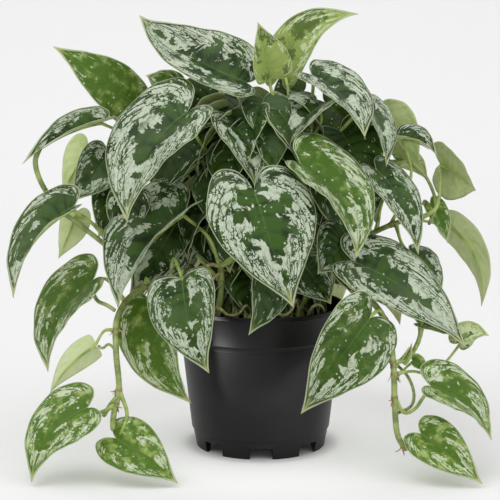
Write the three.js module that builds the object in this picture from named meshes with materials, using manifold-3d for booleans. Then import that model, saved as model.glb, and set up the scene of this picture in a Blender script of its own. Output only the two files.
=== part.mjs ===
// Satin pothos growing in a black nursery pot.
// Millimetres, +Z up. The pot's axis is the Z axis and its feet stand on z = 0.
// The plant's full side faces -Y.
import * as THREE from "three";
import { mergeVertices } from "three/addons/utils/BufferGeometryUtils.js";
import Module from "manifold-3d";

const wasm = await Module();
wasm.setup();

// ---- driving dimensions ----

const GAP = 0.3; // clearance between neighbouring pieces

const POT_RADIUS = 77.5; // at the rim, so a six inch pot
const POT_HEIGHT = 134;
const POT_WALL = 1.8;
const COLLAR_HEIGHT = 28; // stacking collar under the rim
const COLLAR_STEP = 1.5; // how far the collar stands out from the body
const BODY_TOP_RADIUS = 74.5;
const BODY_FOOT_RADIUS = 64.5;
const FOOT_RING_HEIGHT = 17.5; // slanting ring below the body
const FOOT_RADIUS = 60.5;
const FLOOR_UNDERSIDE = 7; // the pot's floor is held clear of the ground
const FLOOR_THICKNESS = 2.5;
const FEET = 8;
const NOTCH_ANGLE = 20; // degrees of the ring cut away between two feet
const DRAIN_SLOT_INNER_RADIUS = 44;
const POT_SIDES = 48;

const SOIL_TOP = 123;
const SOIL_SIDES = 36;

const STEM_SIDES = 6;
const STALK_RADIUS = 1.8;
const STALK_SIDES = 5;
const STALK_DEPTH = 1.6; // how far its middle lies below the blade's upper skin
const STALK_SAG = 0.1; // of its reach from stem to blade
const BLADE_THICKNESS = 1.2;
const BLADE_ROWS = 6; // along the blade
const BLADE_COLUMNS = 2; // from midrib to margin

// ---- materials ----

const material = (color, roughness) => new THREE.MeshStandardMaterial({ color, roughness, metalness: 0 });
const POT_BLACK = material(0x1b1b1c, 0.45);
const SOIL_BROWN = material(0x2a211a, 1);
const STEM_GREEN = material(0x93a35c, 0.5);
const LEAF_SILVER = material(0x6f8f6a, 0.5);
const LEAF_FRESH = material(0x7fa548, 0.5);
const LEAF_PALE = material(0xa3b877, 0.55);

// ---- helpers ----

const vec = ([x, y, z]) => new THREE.Vector3(x, y, z);
const radians = THREE.MathUtils.degToRad;
const smoothCurve = (points) => new THREE.CatmullRomCurve3(points, false, "catmullrom", 0.5);

/** A closed geometry as a manifold-3d solid. */
function solid(geometry) {
  const bare = geometry.clone();
  bare.deleteAttribute("normal");
  bare.deleteAttribute("uv");
  const merged = mergeVertices(bare, 1e-3);
  return new wasm.Manifold(
    new wasm.Mesh({
      numProp: 3,
      vertProperties: merged.attributes.position.array,
      triVerts: new Uint32Array(merged.index.array),
    }),
  );
}

/** A manifold-3d solid as a three.js mesh. */
function meshOf(name, body, look) {
  const { vertProperties, triVerts } = body.getMesh();
  const geometry = new THREE.BufferGeometry();
  geometry.setAttribute("position", new THREE.BufferAttribute(vertProperties, 3));
  geometry.setIndex(new THREE.BufferAttribute(triVerts, 1));
  geometry.computeVertexNormals();
  const mesh = new THREE.Mesh(geometry, look);
  mesh.name = name;
  return mesh;
}

/** A round bar of one radius along a smooth path. */
function bar(points, radius, sides, steps) {
  const shape = new THREE.Shape();
  for (let k = 0; k < sides; k += 1) {
    const angle = (2 * Math.PI * k) / sides;
    const corner = [radius * Math.cos(angle), radius * Math.sin(angle)];
    if (k === 0) shape.moveTo(...corner);
    else shape.lineTo(...corner);
  }
  shape.closePath();
  const extrudePath = smoothCurve(points);
  return solid(new THREE.ExtrudeGeometry(shape, { steps, bevelEnabled: false, extrudePath }));
}

/** A body of revolution about Z; the profile holds [radius, height] pairs. */
function turned(profile, sides) {
  const points = profile.map(([radius, height]) => new THREE.Vector2(radius, height));
  const geometry = new THREE.LatheGeometry(points, sides);
  geometry.rotateX(Math.PI / 2);
  return solid(geometry);
}

// ---- pot ----

function potShell() {
  const collarBottom = POT_HEIGHT - COLLAR_HEIGHT;
  const lipDrop = 1.2;
  const outside = [
    [0, FLOOR_UNDERSIDE],
    [FOOT_RADIUS - 4, FLOOR_UNDERSIDE],
    [FOOT_RADIUS - 2.5, 0],
    [FOOT_RADIUS, 0],
    [BODY_FOOT_RADIUS - 1, FOOT_RING_HEIGHT - 0.5],
    [BODY_FOOT_RADIUS, FOOT_RING_HEIGHT],
    [BODY_TOP_RADIUS, collarBottom - 1],
    [BODY_TOP_RADIUS + COLLAR_STEP, collarBottom],
    [POT_RADIUS, POT_HEIGHT - lipDrop],
    [POT_RADIUS - 0.6, POT_HEIGHT],
  ];
  const inside = [
    [POT_RADIUS - POT_WALL, POT_HEIGHT],
    [BODY_TOP_RADIUS + COLLAR_STEP - POT_WALL, collarBottom],
    [BODY_TOP_RADIUS - POT_WALL, collarBottom - 2],
    [BODY_FOOT_RADIUS - POT_WALL, FOOT_RING_HEIGHT],
    [FOOT_RADIUS - 1.5, FLOOR_UNDERSIDE + FLOOR_THICKNESS],
    [0, FLOOR_UNDERSIDE + FLOOR_THICKNESS],
  ];
  return turned([...outside, ...inside], POT_SIDES);
}

/** The wedge that opens one gap between two feet and the drain slot behind it. */
function drainWedge(angle) {
  const half = radians(NOTCH_ANGLE / 2);
  const shape = new THREE.Shape();
  shape.absarc(0, 0, POT_RADIUS, angle - half, angle + half, false);
  shape.absarc(0, 0, DRAIN_SLOT_INNER_RADIUS, angle + half, angle - half, true);
  shape.closePath();
  const margin = 2; // the wedge starts this far below the ground
  const depth = margin + FLOOR_UNDERSIDE + FLOOR_THICKNESS + 1;
  const wedge = new THREE.ExtrudeGeometry(shape, { depth, bevelEnabled: false, curveSegments: 3 });
  wedge.translate(0, 0, -margin);
  return solid(wedge);
}

function pot() {
  let shell = potShell();
  for (let foot = 0; foot < FEET; foot += 1) {
    shell = shell.subtract(drainWedge((2 * Math.PI * foot) / FEET - Math.PI / 2));
  }
  return meshOf("pot", shell, POT_BLACK);
}

// ---- soil ----

function soil() {
  const insideCollar = BODY_TOP_RADIUS + COLLAR_STEP - POT_WALL - GAP;
  const collarBottom = POT_HEIGHT - COLLAR_HEIGHT;
  const heap = [
    [0, FLOOR_UNDERSIDE + FLOOR_THICKNESS + GAP],
    [FOOT_RADIUS - 2.5, FLOOR_UNDERSIDE + FLOOR_THICKNESS + GAP],
    [BODY_FOOT_RADIUS - POT_WALL - 2 * GAP, FOOT_RING_HEIGHT + GAP],
    [BODY_TOP_RADIUS - POT_WALL - 2 * GAP, collarBottom - 2],
    [insideCollar - GAP, collarBottom + 1],
    [insideCollar, SOIL_TOP - 3],
    [insideCollar * 0.85, SOIL_TOP - 1],
    [insideCollar * 0.6, SOIL_TOP],
    [0, SOIL_TOP],
  ];
  return meshOf("soil", turned(heap, SOIL_SIDES), SOIL_BROWN);
}

// ---- stems: the points each one runs through, from the soil outwards ----

const onSoil = SOIL_TOP + GAP;
/** The upright first stretch of whatever grows out of the soil at x, y. */
const sprout = (x, y) => [[x, y, onSoil], [x, y, onSoil + 8]];
const STEMS = {
  vine_left: {
    radius: 2.8,
    steps: 24,
    path: [...sprout(-23, -10), [-48, -19, 158], [-80, -31, 162], [-112, -52, 153], [-127, -72, 134],
      [-127, -92, 108], [-124, -102, 77], [-128, -109, 57], [-129, -114, 42]],
  },
  vine_right: {
    radius: 2.8,
    steps: 21,
    path: [...sprout(31, -10), [58, -25, 159], [87, -60, 156], [109, -84, 133], [115, -97, 98],
      [116, -106, 63], [118, -114, 39], [126, -116, 25]],
  },
  stem_front: { radius: 3, steps: 6, path: [...sprout(-39, -48), [-36, -44, 153], [-36, -41, 177]] },
  crown_left: {
    radius: 2.6,
    steps: 12,
    path: [...sprout(-14, 0), [-39, 0, 192], [-44, 0, 238], [-32, 2, 271], [-9, 4, 298]],
  },
  crown_right: {
    radius: 2.6,
    steps: 12,
    path: [...sprout(22, 5), [41, 5, 191], [47, 5, 238], [40, 8, 284], [26, 10, 320]],
  },
  side_left: {
    radius: 2.6,
    steps: 12,
    path: [...sprout(-33, 15), [-79, 5, 177], [-120, -10, 189], [-135, -22, 186]],
  },
  side_right: {
    radius: 2.6,
    steps: 12,
    path: [...sprout(37, 20), [79, 15, 180], [120, 8, 205], [151, 5, 213]],
  },
  stem_back: { radius: 2.6, steps: 10, path: [...sprout(0, 32), [1, 42, 180], [1, 42, 235], [1, 36, 300]] },
};

const stemCurve = (name) => smoothCurve(STEMS[name].path.map(vec));

/** A stem grown by some margin, so that what joins it can be cut back to its skin. */
function stemBody(name, margin) {
  const { radius, steps, path } = STEMS[name];
  return bar(path.map(vec), radius + margin, STEM_SIDES, steps);
}

// ---- leaves ----

// Half of a blade laid flat, from the notch round a lobe to the tip:
// along in blade lengths from the notch, out in half widths.
const HALF_OUTLINE = smoothCurve(
  [[0, 0], [-0.06, 0.07], [-0.125, 0.26], [-0.14, 0.5], [-0.09, 0.74], [0.02, 0.92], [0.15, 1],
    [0.3, 0.97], [0.44, 0.86], [0.57, 0.69], [0.7, 0.48], [0.82, 0.26], [0.92, 0.1], [1, 0]]
    .map(([along, out]) => new THREE.Vector3(along, out, 0)),
);
const VEIN_START_POWER = 2.6; // side veins leave the midrib crowded near the notch
const VEIN_SWEEP = 0.35; // and sweep towards the tip as they near the margin

// What a leaf has unless its row says otherwise. Angles are degrees, lengths mm.
const USUAL = {
  fold: 15, // how far each half is raised from flat
  cup: -8, // how far each half bends on its way out, down where negative
  rise: 6, // height of the midrib's arch
  sway: 0, // sideways bow of the midrib, to the left as seen from the notch
  lobe: 1, // length of the lobes behind the notch
  via: null, // points the stalk runs through
  look: LEAF_SILVER,
};

// notch and tip place the blade; face turns its upper side: degrees round from the front, then up from level.
// joins names the stem that the stalk leaves and how far along it, or a point on the soil.
const LEAVES = {
  crown_left: { notch: [-13, -5, 338], tip: [-114, 55, 398], width: 74, face: [0, 50], fold: 25, sway: 14,
    lobe: 0.5, joins: ["crown_left", 0.98] },
  far_left_top: { notch: [-117, 30, 315], tip: [-190, 10, 370], width: 54, face: [25, 25], fold: 5,
    look: LEAF_FRESH, joins: ["crown_left", 0.63], via: [[-85, 18, 288]] },
  shoulder_left: { notch: [-66, -45, 314], tip: [-116, -95, 222], width: 100, face: [-40, 30], fold: 18,
    sway: -13, joins: ["crown_left", 0.75], via: [[-58, -25, 290]] },
  crown_folded: { notch: [8, -5, 343], tip: [-3, -10, 392], width: 46, face: [20, 0], fold: 35, cup: 0,
    rise: 2, lobe: 0.4, look: LEAF_FRESH, joins: ["crown_right", 0.95], via: [[12, -2, 325]] },
  crown_right: { notch: [20, 32, 347], tip: [90, 18, 399], width: 44, face: [0, 30], fold: 10, sway: 16,
    look: LEAF_FRESH, joins: ["crown_right", 0.99], via: [[25, 21, 332]] },
  shoulder_right: { notch: [48, 0, 344], tip: [92, -45, 291], width: 72, face: [45, 35], fold: 15, sway: 8,
    lobe: 0.8, joins: ["crown_right", 0.9], via: [[46, 6, 322]] },
  crown_inner: { notch: [41, 40, 328], tip: [9, 36, 309], width: 46, face: [0, 30], fold: 10, cup: 0,
    joins: ["crown_right", 0.85], via: [[46, 32, 315]] },
  inner_silver: { notch: [53, -10, 317], tip: [21, -34, 277], width: 62, face: [-45, 30], fold: 25,
    lobe: 0.5, joins: ["crown_right", 0.79], via: [[54, -2, 300]] },
  middle_top: { notch: [-23, -15, 303], tip: [-5, -55, 247], width: 68, face: [35, 15],
    joins: ["crown_left", 0.85], via: [[-28, -8, 290]] },
  front_heart: { notch: [-6, -95, 249], tip: [27, -125, 153], width: 98, face: [20, 15], fold: 10, cup: -14,
    sway: -3, lobe: 1.5, joins: ["stem_front", 0.96], via: [[-24, -52, 184], [-10, -70, 216]] },
  front_right: { notch: [37, -55, 267], tip: [82, -95, 191], width: 88, face: [50, 30], fold: 23, sway: 14,
    joins: ["crown_right", 0.58], via: [[44, -25, 258]] },
  right_middle: { notch: [107, -10, 258], tip: [141, -46, 186], width: 52, face: [40, 25], fold: 10,
    sway: 4, joins: ["side_right", 0.65], via: [[101, 4, 235]] },
  right_silver: { notch: [97, 10, 319], tip: [114, -15, 262], width: 48, face: [55, 15], sway: 2,
    joins: ["crown_right", 0.69], via: [[72, 14, 290]] },
  right_behind: { notch: [113, 50, 306], tip: [152, 40, 250], width: 56, face: [150, 20], cup: 0, sway: 4,
    look: LEAF_PALE, joins: ["crown_right", 0.63], via: [[84, 26, 290]] },
  right_looped: { notch: [172, 45, 258], tip: [196, -15, 240], width: 58, face: [115, 10], fold: -5,
    cup: -20, rise: 3, look: LEAF_PALE, joins: ["side_right", 0.99], via: [[163, 8, 222], [168, 20, 246]] },
  far_right: { notch: [180, 50, 201], tip: [212, 40, 122], width: 38, face: [140, 20], fold: 8, sway: -11,
    lobe: 0.6, look: LEAF_PALE, joins: ["side_right", 0.95], via: [[152, 34, 206]] },
  right_sliver: { notch: [161, 34, 222], tip: [177, 28, 185], width: 26, face: [30, 20], cup: 0, rise: 3,
    look: LEAF_PALE, joins: ["side_right", 0.88], via: [[147, 26, 222]] },
  low_right: { notch: [85, -60, 181], tip: [182, -75, 107], width: 80, face: [30, 45], fold: 13, sway: 6,
    lobe: 1.1, joins: ["vine_right", 0.27], via: [[72, -46, 176]] },
  low_right_small: { notch: [139, -15, 183], tip: [166, -25, 148], width: 42, face: [60, 30], fold: 10,
    cup: 0, joins: ["side_right", 0.83], via: [[130, -6, 190]] },
  over_pot_right: { notch: [94, -98, 138], tip: [34, -118, 58], width: 76, face: [20, -5], sway: -4,
    lobe: 0.8, joins: ["vine_right", 0.54], via: [[103, -90, 144]] },
  vine_right_side: { notch: [148, -108, 81], tip: [199, -118, 35], width: 60, face: [45, 50], fold: 20,
    sway: 7, look: LEAF_FRESH, joins: ["vine_right", 0.81],
    via: [[124, -104, 56], [134, -103, 59], [142, -104, 71]] },
  vine_right_tip: { notch: [138, -118, 41], tip: [188, -145, 4], width: 44, face: [0, 30], lobe: 0.85,
    look: LEAF_FRESH, joins: ["vine_right", 0.98], via: [[132, -116, 33]] },
  vine_right_young: { notch: [178, -60, 109], tip: [203, -66, 116], width: 28, face: [0, 40], fold: 20,
    cup: 0, rise: 2, sway: 5, look: LEAF_PALE, joins: ["vine_right", 0.73],
    via: [[132, -93, 90], [149, -84, 86], [165, -70, 94]] },
  vine_right_thin: { notch: [141, -66, 128], tip: [174, -68, 115], width: 30, face: [0, 75], fold: 10,
    cup: 0, rise: 2, look: LEAF_FRESH, joins: ["vine_right", 0.69],
    via: [[130, -90, 101], [139, -76, 114]] },
  over_pot_left: { notch: [-69, -90, 170], tip: [-45, -118, 94], width: 68, face: [-20, 0], sway: -2,
    lobe: 0.6, joins: ["vine_left", 0.33], via: [[-77, -64, 185]] },
  under_heart: { notch: [4, -62, 177], tip: [-11, -92, 122], width: 56, face: [40, 0], fold: 23,
    joins: [13, -30], via: [[12, -40, 155]] },
  low_left: { notch: [-98, -46, 140], tip: [-62, -81, 58], width: 72, face: [-30, 0], fold: 21, sway: -8,
    lobe: 0.8, look: LEAF_FRESH, joins: ["vine_left", 0.43], via: [[-102, -44, 164]] },
  inner_low: { notch: [38, -36, 176], tip: [63, -48, 141], width: 50, face: [0, 25], fold: 12, cup: -5,
    joins: [34, -32], via: [[40, -34, 146]] },
  front_left: { notch: [-70, -35, 223], tip: [-125, -92, 146], width: 100, face: [-50, 35], fold: 32,
    sway: -10, joins: ["stem_front", 0.88], via: [[-47, -38, 200]] },
  left_silver: { notch: [-140, -5, 271], tip: [-172, -22, 230], width: 44, face: [5, 0], lobe: 0.8,
    joins: ["side_left", 0.77], via: [[-120, 4, 230], [-132, 2, 257]] },
  left_behind: { notch: [-161, 25, 277], tip: [-186, 20, 234], width: 44, face: [150, 20], cup: 0, rise: 3,
    look: LEAF_PALE, joins: ["side_left", 0.7], via: [[-130, 28, 250]] },
  far_left_arched: { notch: [-144, -5, 303], tip: [-213, -40, 267], width: 36, face: [15, 70], fold: 35,
    cup: 0, rise: 7, lobe: 0.8, joins: ["crown_left", 0.58], via: [[-92, 2, 275]] },
  far_left: { notch: [-167, -60, 231], tip: [-216, -92, 155], width: 54, face: [-45, 50], fold: 20, cup: 25,
    sway: -14, lobe: 0.7, joins: ["side_left", 0.99], via: [[-151, -40, 213]] },
  left_pale: { notch: [-168, -15, 220], tip: [-185, -20, 178], width: 30, face: [160, 10], cup: 0, rise: 3,
    look: LEAF_PALE, joins: ["side_left", 0.94], via: [[-150, -12, 207]] },
  left_low: { notch: [-152, -45, 163], tip: [-189, -78, 86], width: 72, face: [-50, 30], fold: 20,
    sway: -13, lobe: 0.8, joins: ["vine_left", 0.53], via: [[-138, -50, 164]] },
  left_rolled: { notch: [-146, -85, 111], tip: [-185, -98, 71], width: 26, face: [150, 30], cup: 0, rise: 3,
    sway: 4, lobe: 0.2, look: LEAF_PALE, joins: ["vine_left", 0.65], via: [[-138, -83, 124]] },
  vine_left_big: { notch: [-151, -118, 64], tip: [-196, -143, 5], width: 60, face: [-30, 35], fold: 12,
    sway: -10, lobe: 0.8, look: LEAF_FRESH, joins: ["vine_left", 0.91], via: [[-140, -112, 58]] },
  vine_left_tip: { notch: [-126, -118, 37], tip: [-71, -143, 4], width: 50, face: [15, 25],
    look: LEAF_FRESH, joins: ["vine_left", 0.86], via: [[-117, -108, 58], [-119, -115, 46]] },
};

// The far side carries three tiers of leaves round the back stem, from the lowest to the highest.
const BACK_TIERS = [
  { first: 26, step: 32, count: 5, width: 74, notchRadius: 88, notchHeight: 170,
    tipRadius: 144, tipHeight: 88 },
  { first: 34, step: 36, count: 4, width: 67, notchRadius: 72, notchHeight: 266,
    tipRadius: 130, tipHeight: 180 },
  { first: 80, step: 60, count: 2, width: 68, notchRadius: 58, notchHeight: 318,
    tipRadius: 104, tipHeight: 262 },
];

const BACK_YAW = 25; // degrees, so that neighbouring blades lap over each other like shingles

/** The rows of the far side's leaves, each a little off its tier's regular place. */
function backLeaves() {
  const rows = {};
  let number = 0;
  for (const tier of BACK_TIERS) {
    for (let k = 0; k < tier.count; k += 1) {
      const stray = ((number * 7) % 5) - 2;
      const azimuth = tier.first + tier.step * k;
      const around = (radius, degrees, height) =>
        [radius * Math.cos(radians(degrees)), radius * Math.sin(radians(degrees)), height];
      number += 1;
      rows[`back_${number}`] = {
        notch: around(tier.notchRadius, azimuth, tier.notchHeight + 4 * stray),
        tip: around(tier.tipRadius, azimuth + 3 * stray, tier.tipHeight - 7 * stray),
        width: tier.width - 3 * Math.abs(stray),
        face: [azimuth + 90 + BACK_YAW, 35],
        fold: 12,
        rise: 9,
        sway: 3 * stray,
        joins: ["stem_back", 0.2 + 0.065 * number],
      };
    }
  }
  return rows;
}

/** The blade's own axes: along its chord, and out of its upper side. */
function bladeAxes({ notch, tip, face: [turn, lift] }) {
  const chord = vec(tip).sub(vec(notch));
  const along = chord.clone().normalize();
  const t = radians(turn);
  const l = radians(lift);
  const facing = vec([Math.sin(t) * Math.cos(l), -Math.cos(t) * Math.cos(l), Math.sin(l)]);
  const up = facing.addScaledVector(along, -facing.dot(along)).normalize();
  return { chord, along, up, left: up.clone().cross(along) };
}

/** The midrib's point, and the directions out of the blade and to its left, at a share of the chord. */
function midrib(leaf, axes, share) {
  const bow = axes.up.clone().multiplyScalar(leaf.rise).addScaledVector(axes.left, leaf.sway);
  const onChord = vec(leaf.notch).addScaledVector(axes.chord, share);
  const point = onChord.addScaledVector(bow, 4 * share * (1 - share));
  const tangent = axes.chord.clone().addScaledVector(bow, 4 * (1 - 2 * share)).normalize();
  const up = axes.up.clone().addScaledVector(tangent, -axes.up.dot(tangent)).normalize();
  return { point, up, left: up.clone().cross(tangent) };
}

/** A point of the blade: row 0 is the notch and 1 the tip, column runs from -1 to 1 across the midrib. */
function bladePoint(leaf, axes, row, column, below) {
  const reach = Math.abs(column);
  const edge = HALF_OUTLINE.getPoint(row);
  const edgeAlong = edge.x < 0 ? edge.x * leaf.lobe : edge.x;
  const start = row ** VEIN_START_POWER;
  const along = start + (edgeAlong - start) * (reach * (1 - VEIN_SWEEP) + reach * reach * VEIN_SWEEP);
  const out = edge.y * reach;
  const { point, up, left } = midrib(leaf, axes, along);
  const fold = radians(leaf.fold);
  const cup = radians(leaf.cup);
  const across = cup ? (Math.sin(fold + cup * out) - Math.sin(fold)) / cup : out * Math.cos(fold);
  const height = cup ? (Math.cos(fold) - Math.cos(fold + cup * out)) / cup : out * Math.sin(fold);
  return point
    .addScaledVector(left, (Math.sign(column) * across * leaf.width) / 2)
    .addScaledVector(up, (height * leaf.width) / 2 - below);
}

/** The blade as a closed sheet: an upper skin, a lower skin and the rim between them. */
function blade(leaf, axes) {
  const across = 2 * BLADE_COLUMNS + 1;
  const positions = [];
  for (const below of [0, BLADE_THICKNESS]) {
    for (let r = 0; r <= BLADE_ROWS; r += 1) {
      for (let c = -BLADE_COLUMNS; c <= BLADE_COLUMNS; c += 1) {
        positions.push(...bladePoint(leaf, axes, r / BLADE_ROWS, c / BLADE_COLUMNS, below).toArray());
      }
    }
  }
  const lower = across * (BLADE_ROWS + 1);
  const index = [];
  const quad = (a, b, c, d) => index.push(a, b, c, a, c, d);
  for (let r = 0; r < BLADE_ROWS; r += 1) {
    const row = r * across;
    const next = row + across;
    for (let c = 0; c < across - 1; c += 1) {
      quad(row + c, next + c, next + c + 1, row + c + 1);
      quad(lower + row + c, lower + row + c + 1, lower + next + c + 1, lower + next + c);
    }
    const last = across - 1;
    quad(row, lower + row, lower + next, next);
    quad(row + last, next + last, lower + next + last, lower + row + last);
  }
  const geometry = new THREE.BufferGeometry();
  geometry.setAttribute("position", new THREE.Float32BufferAttribute(positions, 3));
  geometry.setIndex(index);
  return solid(geometry);
}

/** The stalk, which carries on under the blade as the first stretch of its midrib. */
function stalk(leaf, axes) {
  const [place, second] = leaf.joins;
  const onStem = typeof place === "string";
  const foot = onStem ? [stemCurve(place).getPointAt(second)] : sprout(place, second).map(vec);
  const start = foot.at(-1);
  const notch = vec(leaf.notch);
  const sag = axes.up.clone().multiplyScalar(-STALK_SAG * start.distanceTo(notch));
  const middle = leaf.via ? leaf.via.map(vec) : [start.clone().lerp(notch, 0.5).add(sag)];
  const underBlade = [0, 0.2].map((share) => {
    const { point, up } = midrib(leaf, axes, share);
    return point.addScaledVector(up, -STALK_DEPTH);
  });
  const path = [...foot, ...middle, ...underBlade];
  return bar(path, STALK_RADIUS, STALK_SIDES, 2 * path.length);
}

/** A blade and its stalk in one piece, cut back to its stem's skin; crumbs of the cut are left out. */
function leafMesh(name, row) {
  const leaf = { ...USUAL, ...row };
  const axes = bladeAxes(leaf);
  let body = blade(leaf, axes).add(stalk(leaf, axes));
  if (typeof leaf.joins[0] === "string") body = body.subtract(stemBody(leaf.joins[0], GAP));
  const largestFirst = body.decompose().sort((a, b) => b.volume() - a.volume());
  return meshOf(`leaf_${name}`, largestFirst[0], leaf.look);
}

// ---- the whole plant ----

const plant = new THREE.Group();
plant.name = "satin_pothos";
plant.add(pot(), soil());
for (const name of Object.keys(STEMS)) plant.add(meshOf(name, stemBody(name, 0), STEM_GREEN));
for (const [name, row] of Object.entries({ ...LEAVES, ...backLeaves() })) plant.add(leafMesh(name, row));

export default plant;
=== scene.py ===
"""A satin pothos in its black nursery pot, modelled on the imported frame.

Places and sizes are in millimetres in the frame's own axes, and turn to metres where a mesh is made.
Only the studio's are in metres.
"""
import math

import bmesh
import bpy
import numpy as np
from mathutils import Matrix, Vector


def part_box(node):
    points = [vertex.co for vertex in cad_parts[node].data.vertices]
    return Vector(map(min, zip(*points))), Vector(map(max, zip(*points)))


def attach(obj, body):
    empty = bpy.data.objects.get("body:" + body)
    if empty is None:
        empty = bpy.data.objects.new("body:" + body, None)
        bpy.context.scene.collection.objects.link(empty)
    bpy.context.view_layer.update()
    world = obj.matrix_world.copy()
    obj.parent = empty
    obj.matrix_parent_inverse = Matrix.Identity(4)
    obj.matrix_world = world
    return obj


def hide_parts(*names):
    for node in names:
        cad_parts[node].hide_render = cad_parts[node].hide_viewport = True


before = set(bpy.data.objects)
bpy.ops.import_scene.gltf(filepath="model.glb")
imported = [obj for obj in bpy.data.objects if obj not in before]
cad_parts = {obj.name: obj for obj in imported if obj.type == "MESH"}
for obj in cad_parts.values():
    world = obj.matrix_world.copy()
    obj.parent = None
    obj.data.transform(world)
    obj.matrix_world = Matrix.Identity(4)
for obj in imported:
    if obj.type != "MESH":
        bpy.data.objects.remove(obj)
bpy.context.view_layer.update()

MM = 0.001

# ---- driving dimensions, read from the frame ----

POT_LOW, POT_HIGH = (np.array(corner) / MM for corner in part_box("pot"))
SOIL_LOW, SOIL_HIGH = (np.array(corner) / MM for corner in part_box("soil"))
POT_RADIUS = (POT_HIGH[0] - POT_LOW[0]) / 2
POT_HEIGHT = POT_HIGH[2]
SOIL_RADIUS = (SOIL_HIGH[0] - SOIL_LOW[0]) / 2
SOIL_TOP = SOIL_HIGH[2]

# ---- the pot's own proportions ----

POT_WALL = 1.8
COLLAR_BOTTOM = POT_HEIGHT - 28
RIM_BOTTOM = POT_HEIGHT - 4.5
COLLAR_RADIUS = POT_RADIUS - 1.5
BODY_TOP_RADIUS = COLLAR_RADIUS - 1.5
BODY_FOOT_RADIUS = POT_RADIUS - 13
FOOT_RING_HEIGHT = 17.5
FOOT_RADIUS = POT_RADIUS - 17
FLOOR_UNDERSIDE = 7
FLOOR_TOP = 9.5
FEET = 8
POT_SIDES = 192
NOTCH_ANGLE = 20  # degrees that a gap between two feet takes up
DRAIN_SLOT_INNER_RADIUS = 44

# ---- leaf proportions ----

BLADE_THICKNESS = 0.5
BLADE_ROWS = 44
BLADE_COLUMNS = 10  # in each half
VEIN_START_POWER = 2.6  # side veins leave the midrib crowded near the notch
VEIN_SWEEP = 0.35  # and sweep towards the tip as they near the margin
SIDE_VEINS = 9
GROOVE_DEPTH = 0.8
GROOVE_WIDTH = 2.2
QUILTING = 0.5  # height of the swellings between the side veins
MARGIN_WAVE = 0.010  # height of the margin's waves, in blade widths
STALK_RADIUS = 1.8
STALK_FOOT_SWELLING = (0.7, 7)  # how high and how long the stalk is swollen at its stem
STALK_KNEE_SWELLING = (0.35, 6)  # and under the blade's notch
RIB_SHARE = 0.75  # how far along the blade the ridge of the stalk runs

# How far the patterns of two leaves, stalks or stems lie apart in the noise.
BLADE_SPACING, STALK_SPACING, STEM_SPACING = 31, 3.7, 5.3

# Half of a blade laid flat, from the notch round a lobe to the tip:
# along in blade lengths from the notch, out in half widths.
HALF_OUTLINE = [
    (0, 0), (-0.06, 0.07), (-0.125, 0.26), (-0.14, 0.5), (-0.09, 0.74), (0.02, 0.92), (0.15, 1),
    (0.3, 0.97), (0.44, 0.86), (0.57, 0.69), (0.7, 0.48), (0.82, 0.26), (0.92, 0.1), (1, 0),
]

# ---- lines and meshes ----


def unit(vectors):
    """Vectors of length one along the given ones."""
    return vectors / np.linalg.norm(vectors, axis=-1, keepdims=True)


def clipped(values):
    """Values held between 0 and 1."""
    return np.clip(values, 0, 1)


def smooth_line(points, shares):
    """Places on the smooth line through some points, by shares of its stretches counted evenly."""
    points = np.array(points, float)
    padded = np.vstack([2 * points[:1] - points[1:2], points, 2 * points[-1:] - points[-2:-1]])
    stretches = len(points) - 1
    place = np.clip(np.asarray(shares, float) * stretches, 0, stretches - 1e-9)
    first = place.astype(int)
    t = (place - first)[..., None]
    a, b, c, d = (padded[first + k] for k in range(4))
    bend = 2 * a - 5 * b + 4 * c - d
    turn = 3 * b - a - 3 * c + d
    return 0.5 * (2 * b + (c - a) * t + bend * t**2 + turn * t**3)


def swelling(height, length, distance):
    """How much a bar is thicker at some distance from the middle of a swelling."""
    return height * np.exp(-((distance / length) ** 2))


def lengths_along(line):
    """How far each point of a line is from its start."""
    steps = np.linalg.norm(np.diff(line, axis=0), axis=1)
    return np.concatenate([[0], np.cumsum(steps)])


def even_line(points, spacing):
    """The smooth line through some points, with its own points evenly spaced."""
    fine = smooth_line(points, np.linspace(0, 1, 40 * len(points)))
    along = lengths_along(fine)
    count = max(4, int(along[-1] / spacing))
    places = np.linspace(0, along[-1], count + 1)
    return np.stack([np.interp(places, along, fine[:, axis]) for axis in range(3)], axis=-1)


def new_object(name, data):
    """Puts an object with some data, such as a mesh or a lamp, into the scene."""
    made = bpy.data.objects.new(name, data)
    bpy.context.collection.objects.link(made)
    return made


class Shape:
    """A mesh in the making: corners in mm, faces with a material number, and named values at each corner."""

    def __init__(self, *value_names):
        self.points = []
        self.faces = []
        self.looks = []
        self.values = {name: [] for name in value_names}
        self.count = 0

    def add(self, points, faces, look=0, **values):
        """Adds a part. Faces count from its own first corner. Look is one number, or one for each face."""
        points = np.asarray(points, float).reshape(-1, 3)
        self.points.append(points)
        self.faces += [tuple(int(corner) + self.count for corner in face) for face in faces]
        self.looks += list(look) if hasattr(look, "__len__") else [look] * len(faces)
        for name, stored in self.values.items():
            given = np.asarray(values.get(name, (0, 0, 0)), float)
            stored.append(np.broadcast_to(given.reshape(-1, 3), points.shape))
        self.count += len(points)

    def mesh(self, name):
        """The shape as a mesh in metres, with its named values."""
        mesh = bpy.data.meshes.new(name)
        mesh.from_pydata((np.vstack(self.points) * MM).tolist(), [], self.faces)
        for value_name, stored in self.values.items():
            attribute = mesh.attributes.new(value_name, "FLOAT_VECTOR", "POINT")
            attribute.data.foreach_set("vector", np.vstack(stored).ravel())
        mesh.polygons.foreach_set("material_index", self.looks)
        return mesh

    def build(self, name, materials, replaces=None, merge=0.0):
        """Makes the piece, which rides on the plant and stands for a CAD node if one is named."""
        mesh = self.mesh(name)
        mesh.polygons.foreach_set("use_smooth", [True] * len(mesh.polygons))
        for material in materials:
            mesh.materials.append(material)
        if merge:
            close_up(mesh, merge)
        mesh.validate()
        piece = new_object(name, mesh)
        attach(piece, "root")
        if replaces:
            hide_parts(replaces)
        return piece


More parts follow.
